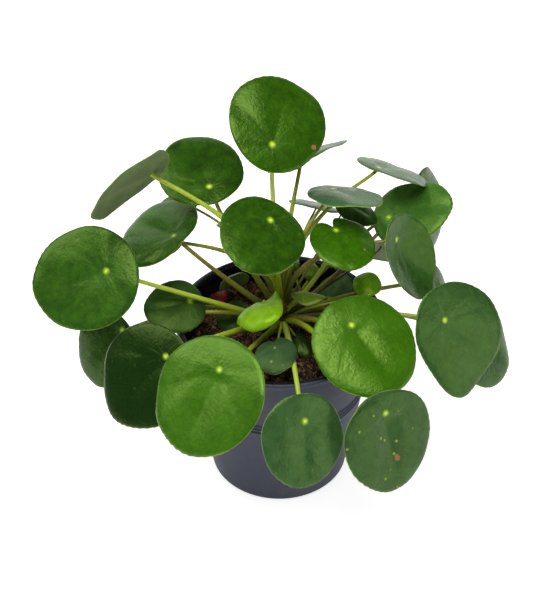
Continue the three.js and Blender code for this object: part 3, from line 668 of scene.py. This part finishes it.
def blade_relief(leaf, x, y, share, angle):
    """Height of the fine form: minus a bell at the joint, minus a bell across each of the grooves, minus
    a wide bell across the main vein, plus sine waves round the blade that grow with the share out to 2.5,
    minus a smooth step at the edge, which turns down."""
    size = leaf["long"] / 50
    reach = np.hypot(x, y)
    relief = -0.35 * size * np.exp(-((reach / (2.6 * size)) ** 2))
    for turn, depth in GROOVES:
        turn = math.radians(turn)
        ahead = x * math.cos(turn) + y * math.sin(turn)
        aside = -x * math.sin(turn) + y * math.cos(turn)
        fade = smooth(0.5, 3, ahead) * (1 - smooth(0.3, 0.62, ahead / leaf["long"]))
        relief = relief - depth * size * fade * np.exp(-((aside / (1.7 * size)) ** 2))
    fold = smooth(0, 6, x) * (1 - smooth(0.35, 0.75, x / leaf["long"]))
    relief = relief - leaf["fold"] * size * fold * np.exp(-((y / (6 * size)) ** 2))
    rng = np.random.default_rng(int(leaf["seed"]) + 7)
    for crests, height in WAVES:
        relief = relief + height * size * share**2.5 * np.sin(crests * angle + rng.uniform(0, TURN))
    return relief - 0.35 * size * smooth(0.88, 1.0, share) ** 2


def blade_shell(leaf, thickness, relief=blade_relief):
    """A closed blade on a polar grid: rings run out from the joint over the upper side, round the edge
    and back in underneath. The edge is an egg-shaped ellipse whose middle lies off the joint, drawn out
    at its lobe, cut in at its notch and finely scalloped. Its height is the relief and an edge wave of
    three crests, less blade_fall. Gives back the shell and which of its faces are the underside."""
    count, spokes = (22, 144) if leaf["long"] > SMALL else (14, 96)
    t = np.arange(1, count + 1) / count
    out = 0.55 * t**1.35 + 0.45 * (1 - (1 - t) ** 1.7)
    share = np.concatenate([out, out[::-1]])[:, None]
    lift = np.concatenate([np.full(count, 0.5), np.full(count, -0.5)])[:, None]
    angle = (TURN * np.arange(spokes) / spokes)[None, :]
    lobe = 1 + leaf["lobe"] * bump(angle, math.radians(leaf["lobe_at"]), 0.45)
    teeth = round(leaf["long"] * 0.7) * angle + 1.6 * np.sin(3 * angle + leaf["phase"])
    uneven = np.sin(2 * angle + leaf["seed"]) + 0.7 * np.sin(5 * angle + 2 * leaf["seed"])
    ragged = 0.0042 * np.sin(teeth) * (0.6 + 0.4 * uneven) + 0.005 * np.sin(7 * angle + leaf["seed"])
    scallop = 1 + ragged * smooth(0.8, 1, share)
    reach = share * lobe * (1 - leaf["notch"] * bump(angle, math.pi, 0.16)) * scallop
    x = reach * (leaf["off"] * leaf["long"] + leaf["long"] / 2 * np.cos(angle))
    y = reach * leaf["broad"] / 2 * np.sin(angle) * (1 - leaf["egg"] * np.cos(angle))
    wave = leaf["wave"] * share**3 * np.sin(3 * angle + leaf["phase"])
    middle = blade_fall(leaf, 0, 0) - blade_fall(leaf, x, y) + wave + relief(leaf, x, y, share, angle)
    z = middle + lift * thickness * (1 - 0.45 * share**6)
    normal, tip, side = blade_axes(leaf)
    rings = leaf["at"] + x[..., None] * tip + y[..., None] * side + z[..., None] * normal
    dip = relief(leaf, *np.zeros((4, 1)))[0]
    poles = [leaf["at"] + normal * (dip + half * thickness) for half in (0.5, -0.5)]
    full = np.ones_like(x)
    scar = full * 0
    if leaf["scar"]:
        scar = np.exp(-(((x - leaf["scar"][0]) ** 2 + (y - leaf["scar"][1]) ** 2) / leaf["scar"][2] ** 2))
    values = dict(share=share * full, blade_x=x * MM, blade_y=y * MM, reach=np.hypot(x, y) * MM, scar=scar)
    for key in ("tone", "bloom", "speckle", "navel", "seed"):
        values[key] = full * leaf[key]
    values["seed"] = values["seed"] * 0.37
    shell = grid_shell(rings, *poles, **values)
    for key in ("reach", "share", "blade_x", "blade_y"):
        shell.values[key][-2:] = 0
    lower = np.arange(2 * count - 1) >= count - 1
    under = np.concatenate([np.repeat(lower, spokes), np.zeros(spokes, bool), np.ones(spokes, bool)])
    return shell, under


def folded_blade_shell(leaf, table, columns=48):
    """A blade whose sides are rolled under: a closed section spans the two margins at each point of their
    length. It is a cosine across and a sine upwards, which rises by a share of half the span and swells
    below by a smaller one, with slow bulges along it. Both ends shrink to a point. The sections run from
    tip to base, so that the faces point outwards."""
    upper, lower = (centre_line(table[side], 6)[1:-1] for side in ("upper", "lower"))
    line, across = (upper + lower) / 2, (upper - lower) / 2
    half = np.linalg.norm(across, axis=-1)
    upward = unit(np.cross(across, np.gradient(line, axis=0)))
    angle = (TURN * np.arange(columns) / columns)[None, :]
    t = np.linspace(0, 1, len(line))[:, None]
    bulge = 1 + 0.05 * np.sin(28 * t + 2 * angle) + 0.04 * np.sin(17 * t - 3 * angle)
    swell = np.where(np.sin(angle) > 0, table["rise"], table["belly"])
    height = half[:, None] * swell * np.sin(angle) * bulge
    rings = line[:, None] + across[:, None] * np.cos(angle)[..., None] + upward[:, None] * height[..., None]
    full = np.ones(rings.shape[:2])
    run = np.linalg.norm(line - line[0], axis=1)[:, None] * MM * full
    margin = (0.9 + 0.1 * np.exp(-((np.minimum(angle, TURN - angle) / 0.2) ** 2))) * full
    reach = np.linalg.norm(rings - table["navel"], axis=-1) * MM
    values = dict(share=margin, blade_x=run, blade_y=half[:, None] * angle * MM, reach=reach, scar=full * 0)
    for key in ("tone", "bloom", "speckle", "navel", "seed"):
        values[key] = full * leaf[key]
    values = {name: value[::-1] for name, value in values.items()}
    return grid_shell(rings[::-1], table["upper"][-1], table["upper"][0], **values)


def centre_line(path, steps=40):
    """A smooth line through the points: between two of them it is the cubic whose slopes come from the
    points beside them, timed by the square root of their distances."""
    points = np.array(path, float)
    points = np.concatenate([[2 * points[0] - points[1]], points, [2 * points[-1] - points[-2]]])
    parts = []
    t = (np.arange(steps) / steps)[:, None]
    for p0, p1, p2, p3 in zip(points, points[1:], points[2:], points[3:]):
        a, b, c = (math.sqrt(np.linalg.norm(v)) for v in (p1 - p0, p2 - p1, p3 - p2))
        start = ((p1 - p0) / a - (p2 - p0) / (a + b) + (p2 - p1) / b) * b
        end = ((p2 - p1) / b - (p3 - p1) / (b + c) + (p3 - p2) / c) * b
        parts.append((2 * t**3 - 3 * t**2 + 1) * p1 + (t**3 - 2 * t**2 + t) * start
                     + (3 * t**2 - 2 * t**3) * p2 + (t**3 - t**2) * end)
    return np.concatenate(parts + [points[-2:-1]])


def rod_shell(line, radius, sides, **values):
    """A round rod: at each point of the line, a circle of that radius across the line's direction. The
    circle's first axis is all but level, and its second is square to both."""
    along = unit(np.gradient(line, axis=0))
    level = unit(np.cross(along, NEARLY_UP))
    second = np.cross(along, level)
    angle = TURN * np.arange(sides) / sides
    circle = level[:, None, :] * np.cos(angle)[:, None] + second[:, None, :] * np.sin(angle)[:, None]
    rings = line[:, None, :] + circle * radius[:, None, None]
    spread = {name: np.repeat(value[:, None], sides, axis=1) for name, value in values.items()}
    return grid_shell(rings, line[0], line[-1], **spread)


def stalk_line(leaf, stem, soil_level, steps=44):
    """A cubic curve from the trunk to under the blade: it leaves the trunk steeper than the straight line
    by arch, and ends half way between that line and the square on the blade. Higher blades leave higher
    up."""
    trunk = centre_line(stem["path"])
    low, high = soil_level + 7, stem["path"][-1][2] - stem["bud"] - 1
    usual_height = low + (leaf["at"][2] - 85) / 115 * (high - low)
    height = np.clip(leaf["foot"] or usual_height, low, high)
    foot = trunk[np.argmin(abs(trunk[:, 2] - height))]
    normal = blade_axes(leaf)[0]
    neck = unit(unit(leaf["at"] - foot) + normal)
    top = leaf["at"] - normal * 0.5
    chord = top - foot
    length, flat = np.linalg.norm(chord), math.hypot(chord[0], chord[1])
    rise = min(math.atan2(chord[2], flat) + math.radians(leaf["arch"]), math.radians(88))
    start = unit(np.array([chord[0], chord[1], flat * math.tan(rise)]))
    second, third = foot + start * leaf["bend"] * length, top - neck * min(9, 0.35 * length)
    t = np.linspace(0, 1, steps)[:, None]
    return (1 - t) ** 3 * foot + 3 * (1 - t) ** 2 * t * second + 3 * (1 - t) * t**2 * third + t**3 * top


def stalk_shell(leaf, stem, soil_level, foot_radius, tip_radius):
    """A stalk: its radius falls from the foot to the neck over the first six tenths, swells a little
    where it grows out of the trunk, and flares where it spreads into the blade."""
    line = stalk_line(leaf, stem, soil_level)
    t = np.linspace(0, 1, len(line))
    size = np.clip(leaf["long"] / 50, 0.5, 1.1) * leaf["stout"]
    radius = size * (foot_radius + (tip_radius - foot_radius) * np.minimum(1, 1.6 * t))
    radius = radius * (1 + 0.25 * np.exp(-t / 0.03) + 0.4 * smooth(0.965, 1, t))
    return rod_shell(line, radius, 14, along=t, tone=np.full_like(t, leaf["stalk"]))


def trunk_shell(stem):
    """A trunk: a rod that tapers from foot to tip, with a ring at each pitch where a leaf has dropped,
    and a pointed bud at its end."""
    line = centre_line(stem["path"], 24)
    run = np.concatenate([[0], np.cumsum(np.linalg.norm(np.diff(line, axis=0), axis=1))])
    t = run / run[-1]
    ring = stem["scar"] * np.cos(TURN * run / stem["pitch"])
    left = np.minimum(1, (run[-1] - run) / stem["bud"])
    radius = (stem["foot"] + (stem["tip"] - stem["foot"]) * t + ring) * np.maximum(0.12, left**0.7)
    return rod_shell(line, radius, 24, along=t, tone=np.ones_like(t))


def wall_radius(pot, z):
    """Outside of the pot's wall at a height: the straight slope from the foot's radius to the neck's."""
    return pot.foot_radius + (pot.neck_radius - pot.foot_radius) / pot.neck_height * z


def soil_height(x, y, soil, pot):
    """A low mound, level plus mound times one minus the square of the share of the radius, with lumps from
    crossed sine waves."""
    share = np.hypot(x, y) / pot.neck_radius
    waves = np.sin(0.31 * x + 0.7) * np.cos(0.27 * y - 0.4) + 0.6 * np.sin(0.53 * x - 0.47 * y)
    return soil.level + soil.mound * (1 - share**2) + soil.lump * waves


# ---- sizes and colours that a user would change ----


class MoneyPlantPot(bpy.types.PropertyGroup):
    """Sizes of the nursery pot, in millimetres."""

    rim_radius: FloatProperty(name="Lip radius", description="Outer edge of the lip", default=60.0)
    height: FloatProperty(name="Height", description="Top of the lip over the floor", default=110.0)
    foot_radius: FloatProperty(
        name="Foot radius", description="Outside of the wall at the floor", default=41.5
    )
    neck_radius: FloatProperty(
        name="Neck radius", description="Outside of the wall under the lip", default=57.0
    )
    neck_height: FloatProperty(name="Neck height", description="Where the lip starts", default=107.6)
    wall: FloatProperty(name="Wall", description="Thickness of the plastic", default=1.2)
    floor: FloatProperty(name="Floor", description="Thickness of the floor", default=1.8)
    hole_radius: FloatProperty(name="Hole radius", description="Drainage holes", default=4.0)
    hole_ring: FloatProperty(name="Hole ring", description="Circle that the holes stand on", default=26.0)
    holes: IntProperty(name="Holes", description="Number of drainage holes", default=6, min=3)
    colour: FloatVectorProperty(
        name="Colour", description="Outside of the pot", subtype="COLOR", size=4, min=0, max=1,
        default=linear("#4c4f60"),
    )


class MoneyPlantSoil(bpy.types.PropertyGroup):
    """Sizes of the potting mix, in millimetres."""

    level: FloatProperty(name="Level", description="Height at the wall", default=95.0)
    mound: FloatProperty(name="Mound", description="Rise towards the middle", default=2.5)
    lump: FloatProperty(name="Lumps", description="Height of the lumps", default=0.9)
    crumbs: IntProperty(name="Crumbs", description="Loose crumbs on top", default=2400, min=0)
    fibres: IntProperty(name="Fibres", description="Loose coir fibres on top", default=2200, min=0)
    chips: IntProperty(name="Chips", description="Bark chips on top", default=46, min=0)


class MoneyPlantGrowth(bpy.types.PropertyGroup):
    """Sizes of the stalks and blades, in millimetres."""

    stalk_foot: FloatProperty(name="Stalk foot", description="Radius at the trunk", default=1.9)
    stalk_tip: FloatProperty(name="Stalk tip", description="Radius under the blade", default=1.15)
    blade: FloatProperty(name="Blade", description="Thickness of a blade at its middle", default=0.8)


class MoneyPlantStudio(bpy.types.PropertyGroup):
    """The lamps and the surroundings."""

    around: FloatProperty(name="Surroundings", description="Brightness of the dim room", default=0.12)
    key: FloatProperty(name="Key lamp", description="Soft box overhead", default=7.8, unit="POWER")
    left: FloatProperty(name="Left lamp", description="Soft box at upper left", default=5.2, unit="POWER")
    right: FloatProperty(
        name="Right panel", description="White panel at the right", default=3.0, unit="POWER"
    )
    back: FloatProperty(name="Back panel", description="White panel behind", default=11.0, unit="POWER")
    floor_glow: FloatProperty(
        name="Floor glow", description="How far the paper is lit from below", default=0.75
    )


# ---- operators ----


class MONEYPLANT_OT_pot(bpy.types.Operator):
    """Makes the nursery pot: a thin two-tone wall with its lip, ribs and pierced floor"""

    bl_idname = "moneyplant.pot"
    bl_label = "Nursery pot"

    # In millimetres: the middles of the ribs, how far they stand out and half their width; where the step
    # starts and ends and how far the wall stands out over it; the radius of the lip's bead; and how far
    # the floor's edge lies inside the foot. The first points of the lip's outline are grey like the
    # outside.
    ribs, rib_rise, rib_half = (64, 67, 70), 0.7, 1.15
    step, step_rise, bead_radius, foot_inset = (86, 86.7), 0.5, 1.5, 2.0
    grey_lip_points = 10

    def execute(self, context):
        pot = context.scene.moneyplant_pot
        outer, lip, inner = self.outside(pot), self.lip(pot), self.inside(pot)
        profile = np.array(outer + lip + inner)
        columns = 288
        angle = TURN * np.arange(columns) / columns
        ring = np.stack([np.cos(angle), np.sin(angle)], axis=-1)
        heights = np.repeat(profile[:, None, 1:], columns, axis=1)
        shell = grid_shell(np.concatenate([profile[:, None, :1] * ring, heights], axis=-1), loop=True)
        black = np.arange(len(profile)) >= len(outer) + self.grey_lip_points
        plate = self.floor_plate(pot, wall_radius(pot, 0) - self.foot_inset)
        material_of = np.concatenate([np.repeat(black, columns), np.zeros(len(plate.quads), bool)])
        skins = [pot_outside(tuple(pot.colour)), pot_inside()]
        dress(put_in("nursery_pot", Shell.join([shell, plate]), skins, material_of), "pot", "pot")
        return {"FINISHED"}

    def outside(self, pot):
        """The wall's outside from the floor up, as radius and height: a bevelled foot, the straight slope
        with a half cosine for each rib, a smooth step outwards, and the slope that falls back from it to
        the neck."""
        bevel = ((-2.2, 0), (-1.4, 0.1), (-0.7, 0.5))
        points = [(wall_radius(pot, 0) + inset, z) for inset, z in bevel]
        points += [(wall_radius(pot, z), z) for z in (1.6, 3, *np.linspace(8, 60, 14))]
        for middle in self.ribs:
            for s in np.linspace(-1, 1, 9):
                rise = self.rib_rise * (0.5 + 0.5 * math.cos(math.pi * s))
                points.append((wall_radius(pot, middle) + rise, middle + self.rib_half * s))
        points += [(wall_radius(pot, z), z) for z in (73, 77, 81, 85)]
        for z in (85.9, 86.1, 86.35, 86.6, 86.8):
            points.append((wall_radius(pot, z) + self.step_rise * float(smooth(*self.step, z)), z))
        upper = (90, 96, 102, 106)
        return points + [(wall_radius(pot, z) + self.step_rise * (107 - z) / 20, z) for z in upper]

    def lip(self, pot):
        """The rolled lip: an arc of 160 degrees round the bead's middle, then all but flat to the mouth."""
        turn, bead = np.radians(np.linspace(-100, 60, 11)), self.bead_radius
        out, top = pot.rim_radius - bead, pot.height - bead
        points = [(out + bead * math.cos(a), top + bead * math.sin(a)) for a in turn]
        return points + [(pot.rim_radius - 1.6, pot.height), (pot.neck_radius - 0.6, pot.height - 0.15)]

    def inside(self, pot):
        """The wall's inside from the mouth down, one wall's thickness in from the slope, with a step inwards
        at the floor."""
        points = [(pot.neck_radius - 1.3, pot.height - 0.8)]
        points += [(wall_radius(pot, z) - pot.wall, z) for z in (106, *np.linspace(100, 3, 20))]
        return points + [(wall_radius(pot, 0) - 3.2, z) for z in (1.4, 0.4)]

    @staticmethod
    def floor_plate(pot, radius, spokes=48):
        """The pierced floor: one wedge for each hole. In a wedge, spokes run out from the hole's middle
        to the wedge's straight sides and arc, and the grid's rings are the hole's wall, the top and the
        underside."""
        half = math.pi / pot.holes
        angle = TURN * (np.arange(spokes) + 0.5) / spokes
        dx, dy = np.cos(angle), np.sin(angle)
        ahead = pot.hole_ring * dx
        far = np.sqrt(ahead**2 + radius**2 - pot.hole_ring**2) - ahead
        for sign in (1, -1):
            toward = sign * dy * math.cos(half) - dx * math.sin(half)
            far = np.minimum(far, pot.hole_ring * math.sin(half) / np.maximum(toward, 1e-6))
        near, under = np.full(spokes, pot.hole_radius), 0.05
        shells = []
        for turn in TURN * np.arange(pot.holes) / pot.holes:
            c, s = math.cos(turn), math.sin(turn)
            rows = []
            for reach, z in ((far, under), (near, under), (near, pot.floor), (far, pot.floor)):
                x, y = pot.hole_ring + reach * dx, reach * dy
                rows.append(np.stack([x * c - y * s, x * s + y * c, np.full(spokes, z)], axis=-1))
            shells.append(grid_shell(np.array(rows), loop=True))
        return Shell.join(shells)


class MONEYPLANT_OT_soil(bpy.types.Operator):
    """Makes the potting mix: a lumpy peat surface strewn with crumbs, coir fibres and bark chips"""

    bl_idname = "moneyplant.soil"
    bl_label = "Potting mix"

    def execute(self, context):
        pot, soil = context.scene.moneyplant_pot, context.scene.moneyplant_soil
        rng = np.random.default_rng(3)

        def top(x, y):
            """soil_height with a fine crumb of crossed short waves."""
            long_waves = 0.5 * np.sin(1.9 * x + 0.8 * y) * np.sin(1.3 * y - 0.9 * x)
            short_waves = 0.35 * np.sin(3.1 * x) * np.sin(2.7 * y + x)
            return soil_height(x, y, soil, pot) + (long_waves + short_waves)

        columns, rows, gap = 160, 46, 0.3
        angle = TURN * np.arange(columns) / columns
        outer = wall_radius(pot, soil.level - 4) - pot.wall - gap
        low = pot.floor + gap
        foot = wall_radius(pot, low) - pot.wall - gap
        reach = np.linspace(outer / rows, outer, rows)[:, None]
        x, y = reach * np.cos(angle), reach * np.sin(angle)
        surface = np.stack([x, y, top(x, y)], axis=-1)
        wall_rows = []
        for share in (0.5, 1.0):
            z = (1 - share) * (soil.level - 6) + share * low
            r = (1 - share) * outer + share * foot
            wall_rows.append(np.stack([r * np.cos(angle), r * np.sin(angle), np.full(columns, z)], axis=-1))
        rings = np.concatenate([surface, np.array(wall_rows)])
        base = grid_shell(rings[::-1], (0, 0, low), (0, 0, float(top(0.0, 0.0))))
        base.values = {"shade": np.zeros(len(base.points))}
        crumbs = self.crumbs(rng, soil.crumbs, outer - 1, top)
        fibres = self.fibres(rng, soil.fibres, outer - 2.5, top)
        chips = self.crumbs(rng, soil.chips, outer - 4, top, (1.6, 3.4), 0.35)
        shell = Shell.join([base, crumbs, fibres, chips])
        loose = np.ones(len(shell.quads) + len(shell.triangles), bool)
        loose[: len(base.quads)] = False
        start = len(shell.quads)
        loose[start : start + len(base.triangles)] = False
        dress(put_in("potting_mix", shell, [peat(), coir_and_bark()], loose), "soil", "soil")
        return {"FINISHED"}

    @staticmethod
    def spots(rng, count, reach):
        """Random places evenly spread over a disc: the radius is reach times the square root of a share."""
        radius, angle = reach * np.sqrt(rng.uniform(0, 1, count)), rng.uniform(0, TURN, count)
        return radius * np.cos(angle), radius * np.sin(angle)

    @classmethod
    def crumbs(cls, rng, count, reach, top, size=(0.5, 1.5), flat=0.7):
        """Lumps: each is a cube whose corners are pushed about, turned at random and laid on the
        surface."""
        corner = np.array([[x, y, z] for z in (-1, 1) for y in (-1, 1) for x in (-1, 1)], float)
        faces = np.array([[0, 2, 3, 1], [4, 5, 7, 6], [0, 1, 5, 4], [2, 6, 7, 3], [0, 4, 6, 2], [1, 3, 7, 5]])
        x, y = cls.spots(rng, count, reach)
        scale = rng.uniform(*size, count)[:, None, None]
        scale = scale * rng.uniform(0.55, 1.2, (count, 1, 3)) * [1, 1, flat]
        points = (corner + rng.uniform(-0.35, 0.35, (count, 8, 3))) * scale
        turn = rng.uniform(0, TURN, count)
        c, s = np.cos(turn)[:, None], np.sin(turn)[:, None]
        place = np.stack([x, y, top(x, y) + 0.15], axis=-1)[:, None, :]
        px, py, pz = np.moveaxis(points, -1, 0)
        turned = np.stack([px * c - py * s, px * s + py * c, pz], -1)
        quads = (faces[None] + 8 * np.arange(count)[:, None, None]).reshape(-1, 4)
        shade = np.repeat(rng.beta(1.2, 3.0, count), 8)
        return Shell((turned + place).reshape(-1, 3), quads, np.zeros((0, 3), int), shade=shade)

    @classmethod
    def fibres(cls, rng, count, reach, top):
        """Coir fibres: each is a triangular tube along a bowed line, pointed at both ends, lying at
        random."""
        steps = 6
        t = np.linspace(-1, 1, steps)
        x, y = cls.spots(rng, count, reach)
        length, bow = rng.uniform(1.5, 5.5, (count, 1)), rng.uniform(-1.3, 1.3, (count, 1))
        turn, tilt = rng.uniform(0, TURN, (count, 1)), rng.normal(0, 0.25, (count, 1))
        ahead, aside = length * t, bow * (1 - t**2)
        px = x[:, None] + ahead * np.cos(turn) - aside * np.sin(turn)
        py = y[:, None] + ahead * np.sin(turn) + aside * np.cos(turn)
        keep = np.minimum(1, reach / np.maximum(np.hypot(px, py), 1e-6))
        px, py = px * keep, py * keep
        line = np.stack([px, py, top(px, py) + 0.45 + np.abs(ahead * tilt) * 0.5], axis=-1)
        thin = rng.uniform(0.1, 0.26, (count, 1)) * (1.05 - t**2) ** 0.5
        angle = TURN * np.arange(3) / 3
        across = np.stack([-np.sin(turn), np.cos(turn), 0 * turn], axis=-1)
        ring = across[:, :, None, :] * np.cos(angle)[:, None] + np.array([0, 0, 1.0]) * np.sin(angle)[:, None]
        points = line[:, :, None, :] + ring * thin[:, :, None, None]
        index = np.arange(steps * 3).reshape(steps, 3)
        turned = np.roll(index, -1, axis=1)
        quads = np.stack([index[:-1], turned[:-1], turned[1:], index[1:]], axis=-1).reshape(-1, 4)
        ends = np.array([index[0][::-1], index[-1]])
        shift = steps * 3 * np.arange(count)[:, None, None]
        shade = np.repeat(rng.beta(2.0, 1.5, count), steps * 3)
        quads, ends = (quads + shift).reshape(-1, 4), (ends + shift).reshape(-1, 3)
        return Shell(points.reshape(-1, 3), quads, ends, shade=shade)


class MONEYPLANT_OT_stems(bpy.types.Operator):
    """Makes the trunk and the small offset stem with all their leaf stalks"""

    bl_idname = "moneyplant.stems"
    bl_label = "Trunk and leaf stalks"

    def execute(self, context):
        growth, level = context.scene.moneyplant_growth, context.scene.moneyplant_soil.level
        rows = [leaf_row(name, k) for k, name in enumerate(LEAVES)]
        skin, bark, sheath = petiole_skin(), trunk_bark(), stipule_scale()
        for node, stem in (("stem", TRUNK), ("offset_stem", OFFSET_STEM)):
            own = [row for row in rows if row["name"].startswith("leaf_offset") == (node == "offset_stem")]
            shells = [trunk_shell(stem)]
            shells += [stalk_shell(row, stem, level, growth.stalk_foot, growth.stalk_tip) for row in own]
            shell, trunk = Shell.join(shells), shells[0]
            material_of = np.ones(len(shell.quads) + len(shell.triangles), int)
            material_of[: len(trunk.quads)] = 2 * (trunk.values["along"][trunk.quads[:, 0]] > stem["sheath"])
            start, end = len(shell.quads), len(shell.quads) + len(trunk.triangles)
            material_of[start:end] = np.repeat([0, 2], len(trunk.triangles) // 2)
            thing = put_in(node.replace("stem", "stalks"), shell, [bark, skin, sheath], material_of)
            dress(thing, "stem", node)
        return {"FINISHED"}


class MONEYPLANT_OT_blades(bpy.types.Operator):
    """Makes every living blade, each as one closed piece with its own upper side and underside"""

    bl_idname = "moneyplant.blades"
    bl_label = "Leaf blades"

    def execute(self, context):
        thickness = context.scene.moneyplant_growth.blade
        mature = [leaf_upper("leaf_cuticle", MATURE, 0.25), leaf_under("leaf_underside", MATURE)]
        fresh = [leaf_upper("young_leaf_cuticle", FRESH, 0.22), leaf_under("young_leaf_underside", FRESH)]
        glossy = [leaf_upper("glossy_leaf_cuticle", MATURE, 0.3, 0.9), mature[1]]
        dusty = [leaf_upper("dusty_leaf_cuticle", MATURE, 0.42), mature[1]]
        bronzed = [leaf_upper("bronzed_leaf_cuticle", BRONZED, 0.3)]
        bronzed.append(leaf_under("bronzed_leaf_underside", BRONZED))
        skins = dict(mature=mature, young=fresh, glossy=glossy, dusty=dusty, bronzed=bronzed)
        for k, name in enumerate(LEAVES):
            leaf = leaf_row(name, k)
            if name == FOLDED["name"]:
                shell, under = folded_blade_shell(leaf, FOLDED), None
            else:
                shell, under = blade_shell(leaf, thickness)
            thing = put_in(name.replace("leaf", "blade"), shell, skins[leaf["skin"]], under)
            dress(thing, "young_leaf" if leaf["skin"] in ("young", "bronzed") else "leaf", name)
        return {"FINISHED"}


class MONEYPLANT_OT_fallen_leaf(bpy.types.Operator):
    """Makes the withered leaf that lies on the potting mix"""

    bl_idname = "moneyplant.fallen_leaf"
    bl_label = "Fallen leaf"

    def execute(self, context):
        soil, pot = context.scene.moneyplant_soil, context.scene.moneyplant_pot
        x, y = FALLEN["place"]
        at = np.array([x, y, float(soil_height(x, y, soil, pot)) + FALLEN["lift"]])

        def crumple(row, x, y, share, angle):
            """Folds: crossed sine waves that grow to the edge."""
            return 0.3 * share * np.sin(0.7 * x + 0.3 * y) + 0.4 * share**2 * np.sin(3 * angle + 1)

        shell = blade_shell({**USUAL, **PLAIN, **FALLEN, "at": at}, 0.5, crumple)[0]
        dress(put_in("withered_blade", shell, [withered_blade()]), "withered_leaf", "fallen_leaf")
        return {"FINISHED"}


class MONEYPLANT_OT_stage(bpy.types.Operator):
    """Sets the white floor, the soft lamps, the white surroundings and the camera"""

    bl_idname = "moneyplant.stage"
    bl_label = "Studio"

    def execute(self, context):
        scene, studio = context.scene, context.scene.moneyplant_studio
        side, depth = 2500.0, -0.2
        corners = np.array([[x * side, y * side, depth] for x, y in ((-1, -1), (1, -1), (1, 1), (-1, 1))])
        sheet = Shell(corners, np.array([[0, 1, 2, 3]]), np.zeros((0, 3), int))
        floor = put_in("floor", sheet, [studio_floor(studio.floor_glow)])
        world = bpy.data.worlds.new("white_room")
        world.use_nodes = True
        world.node_tree.nodes.clear()
        add = partial(add_node, world.node_tree)
        seen = add("LightPath", out="Is Camera Ray")
        strength = add("MapRange", seen, 0.0, 1.0, studio.around, 1.0, **SMOOTH)
        add("OutputWorld", Surface=add("Background", Color=(1, 1, 1, 1), Strength=strength))
        scene.world = world

        for name, (place, width, height, power) in LAMPS.items():
            light = bpy.data.lights.new(name, "AREA")
            light.shape, light.size, light.size_y = "RECTANGLE", width, height
            light.energy = getattr(studio, power)
            self.stand(light, place, LAMPS_AIM)
        lens = bpy.data.cameras.new("camera")
        lens.lens, lens.sensor_width, lens.clip_start = CAMERA["lens"], 36, 0.02
        scene.camera = self.stand(lens, CAMERA["place"], CAMERA["aim"])
        scene.view_settings.view_transform = "Standard"
        return {"FINISHED"}

    @staticmethod
    def stand(data, place, target):
        """A lamp or camera at its place, turned so that it looks at the target with its top up."""
        thing = bpy.data.objects.new(data.name, data)
        bpy.context.scene.collection.objects.link(thing)
        thing.location = place
        thing.rotation_euler = (Vector(target) - thing.location).to_track_quat("-Z", "Y").to_euler()
        return thing


class MONEYPLANT_PT_panel(bpy.types.Panel):
    """Lists the sizes and the steps"""

    bl_idname = "MONEYPLANT_PT_panel"
    bl_label = "Money plant"
    bl_space_type = "VIEW_3D"
    bl_region_type = "UI"
    bl_category = "Money plant"

    def draw(self, context):
        for operator in STEPS:
            self.layout.operator(operator.bl_idname)
        for name in GROUPS:
            group = getattr(context.scene, name)
            box = self.layout.box()
            for prop in group.bl_rna.properties:
                if prop.identifier not in ("name", "rna_type"):
                    box.prop(group, prop.identifier)


STEPS = (
    MONEYPLANT_OT_stage,
    MONEYPLANT_OT_pot,
    MONEYPLANT_OT_soil,
    MONEYPLANT_OT_stems,
    MONEYPLANT_OT_blades,
    MONEYPLANT_OT_fallen_leaf,
)
GROUPS = {
    "moneyplant_pot": MoneyPlantPot,
    "moneyplant_soil": MoneyPlantSoil,
    "moneyplant_growth": MoneyPlantGrowth,
    "moneyplant_studio": MoneyPlantStudio,
}


def register():
    for cls in (*GROUPS.values(), *STEPS, MONEYPLANT_PT_panel):
        bpy.utils.register_class(cls)
    for name, group in GROUPS.items():
        setattr(bpy.types.Scene, name, PointerProperty(type=group))


def unregister():
    for name in GROUPS:
        delattr(bpy.types.Scene, name)
    for cls in (MONEYPLANT_PT_panel, *STEPS, *GROUPS.values()):
        bpy.utils.unregister_class(cls)


def main():
    register()
    for operator in STEPS:
        family, name = operator.bl_idname.split(".")
        getattr(getattr(bpy.ops, family), name)()


if __name__ == "__main__":
    main()
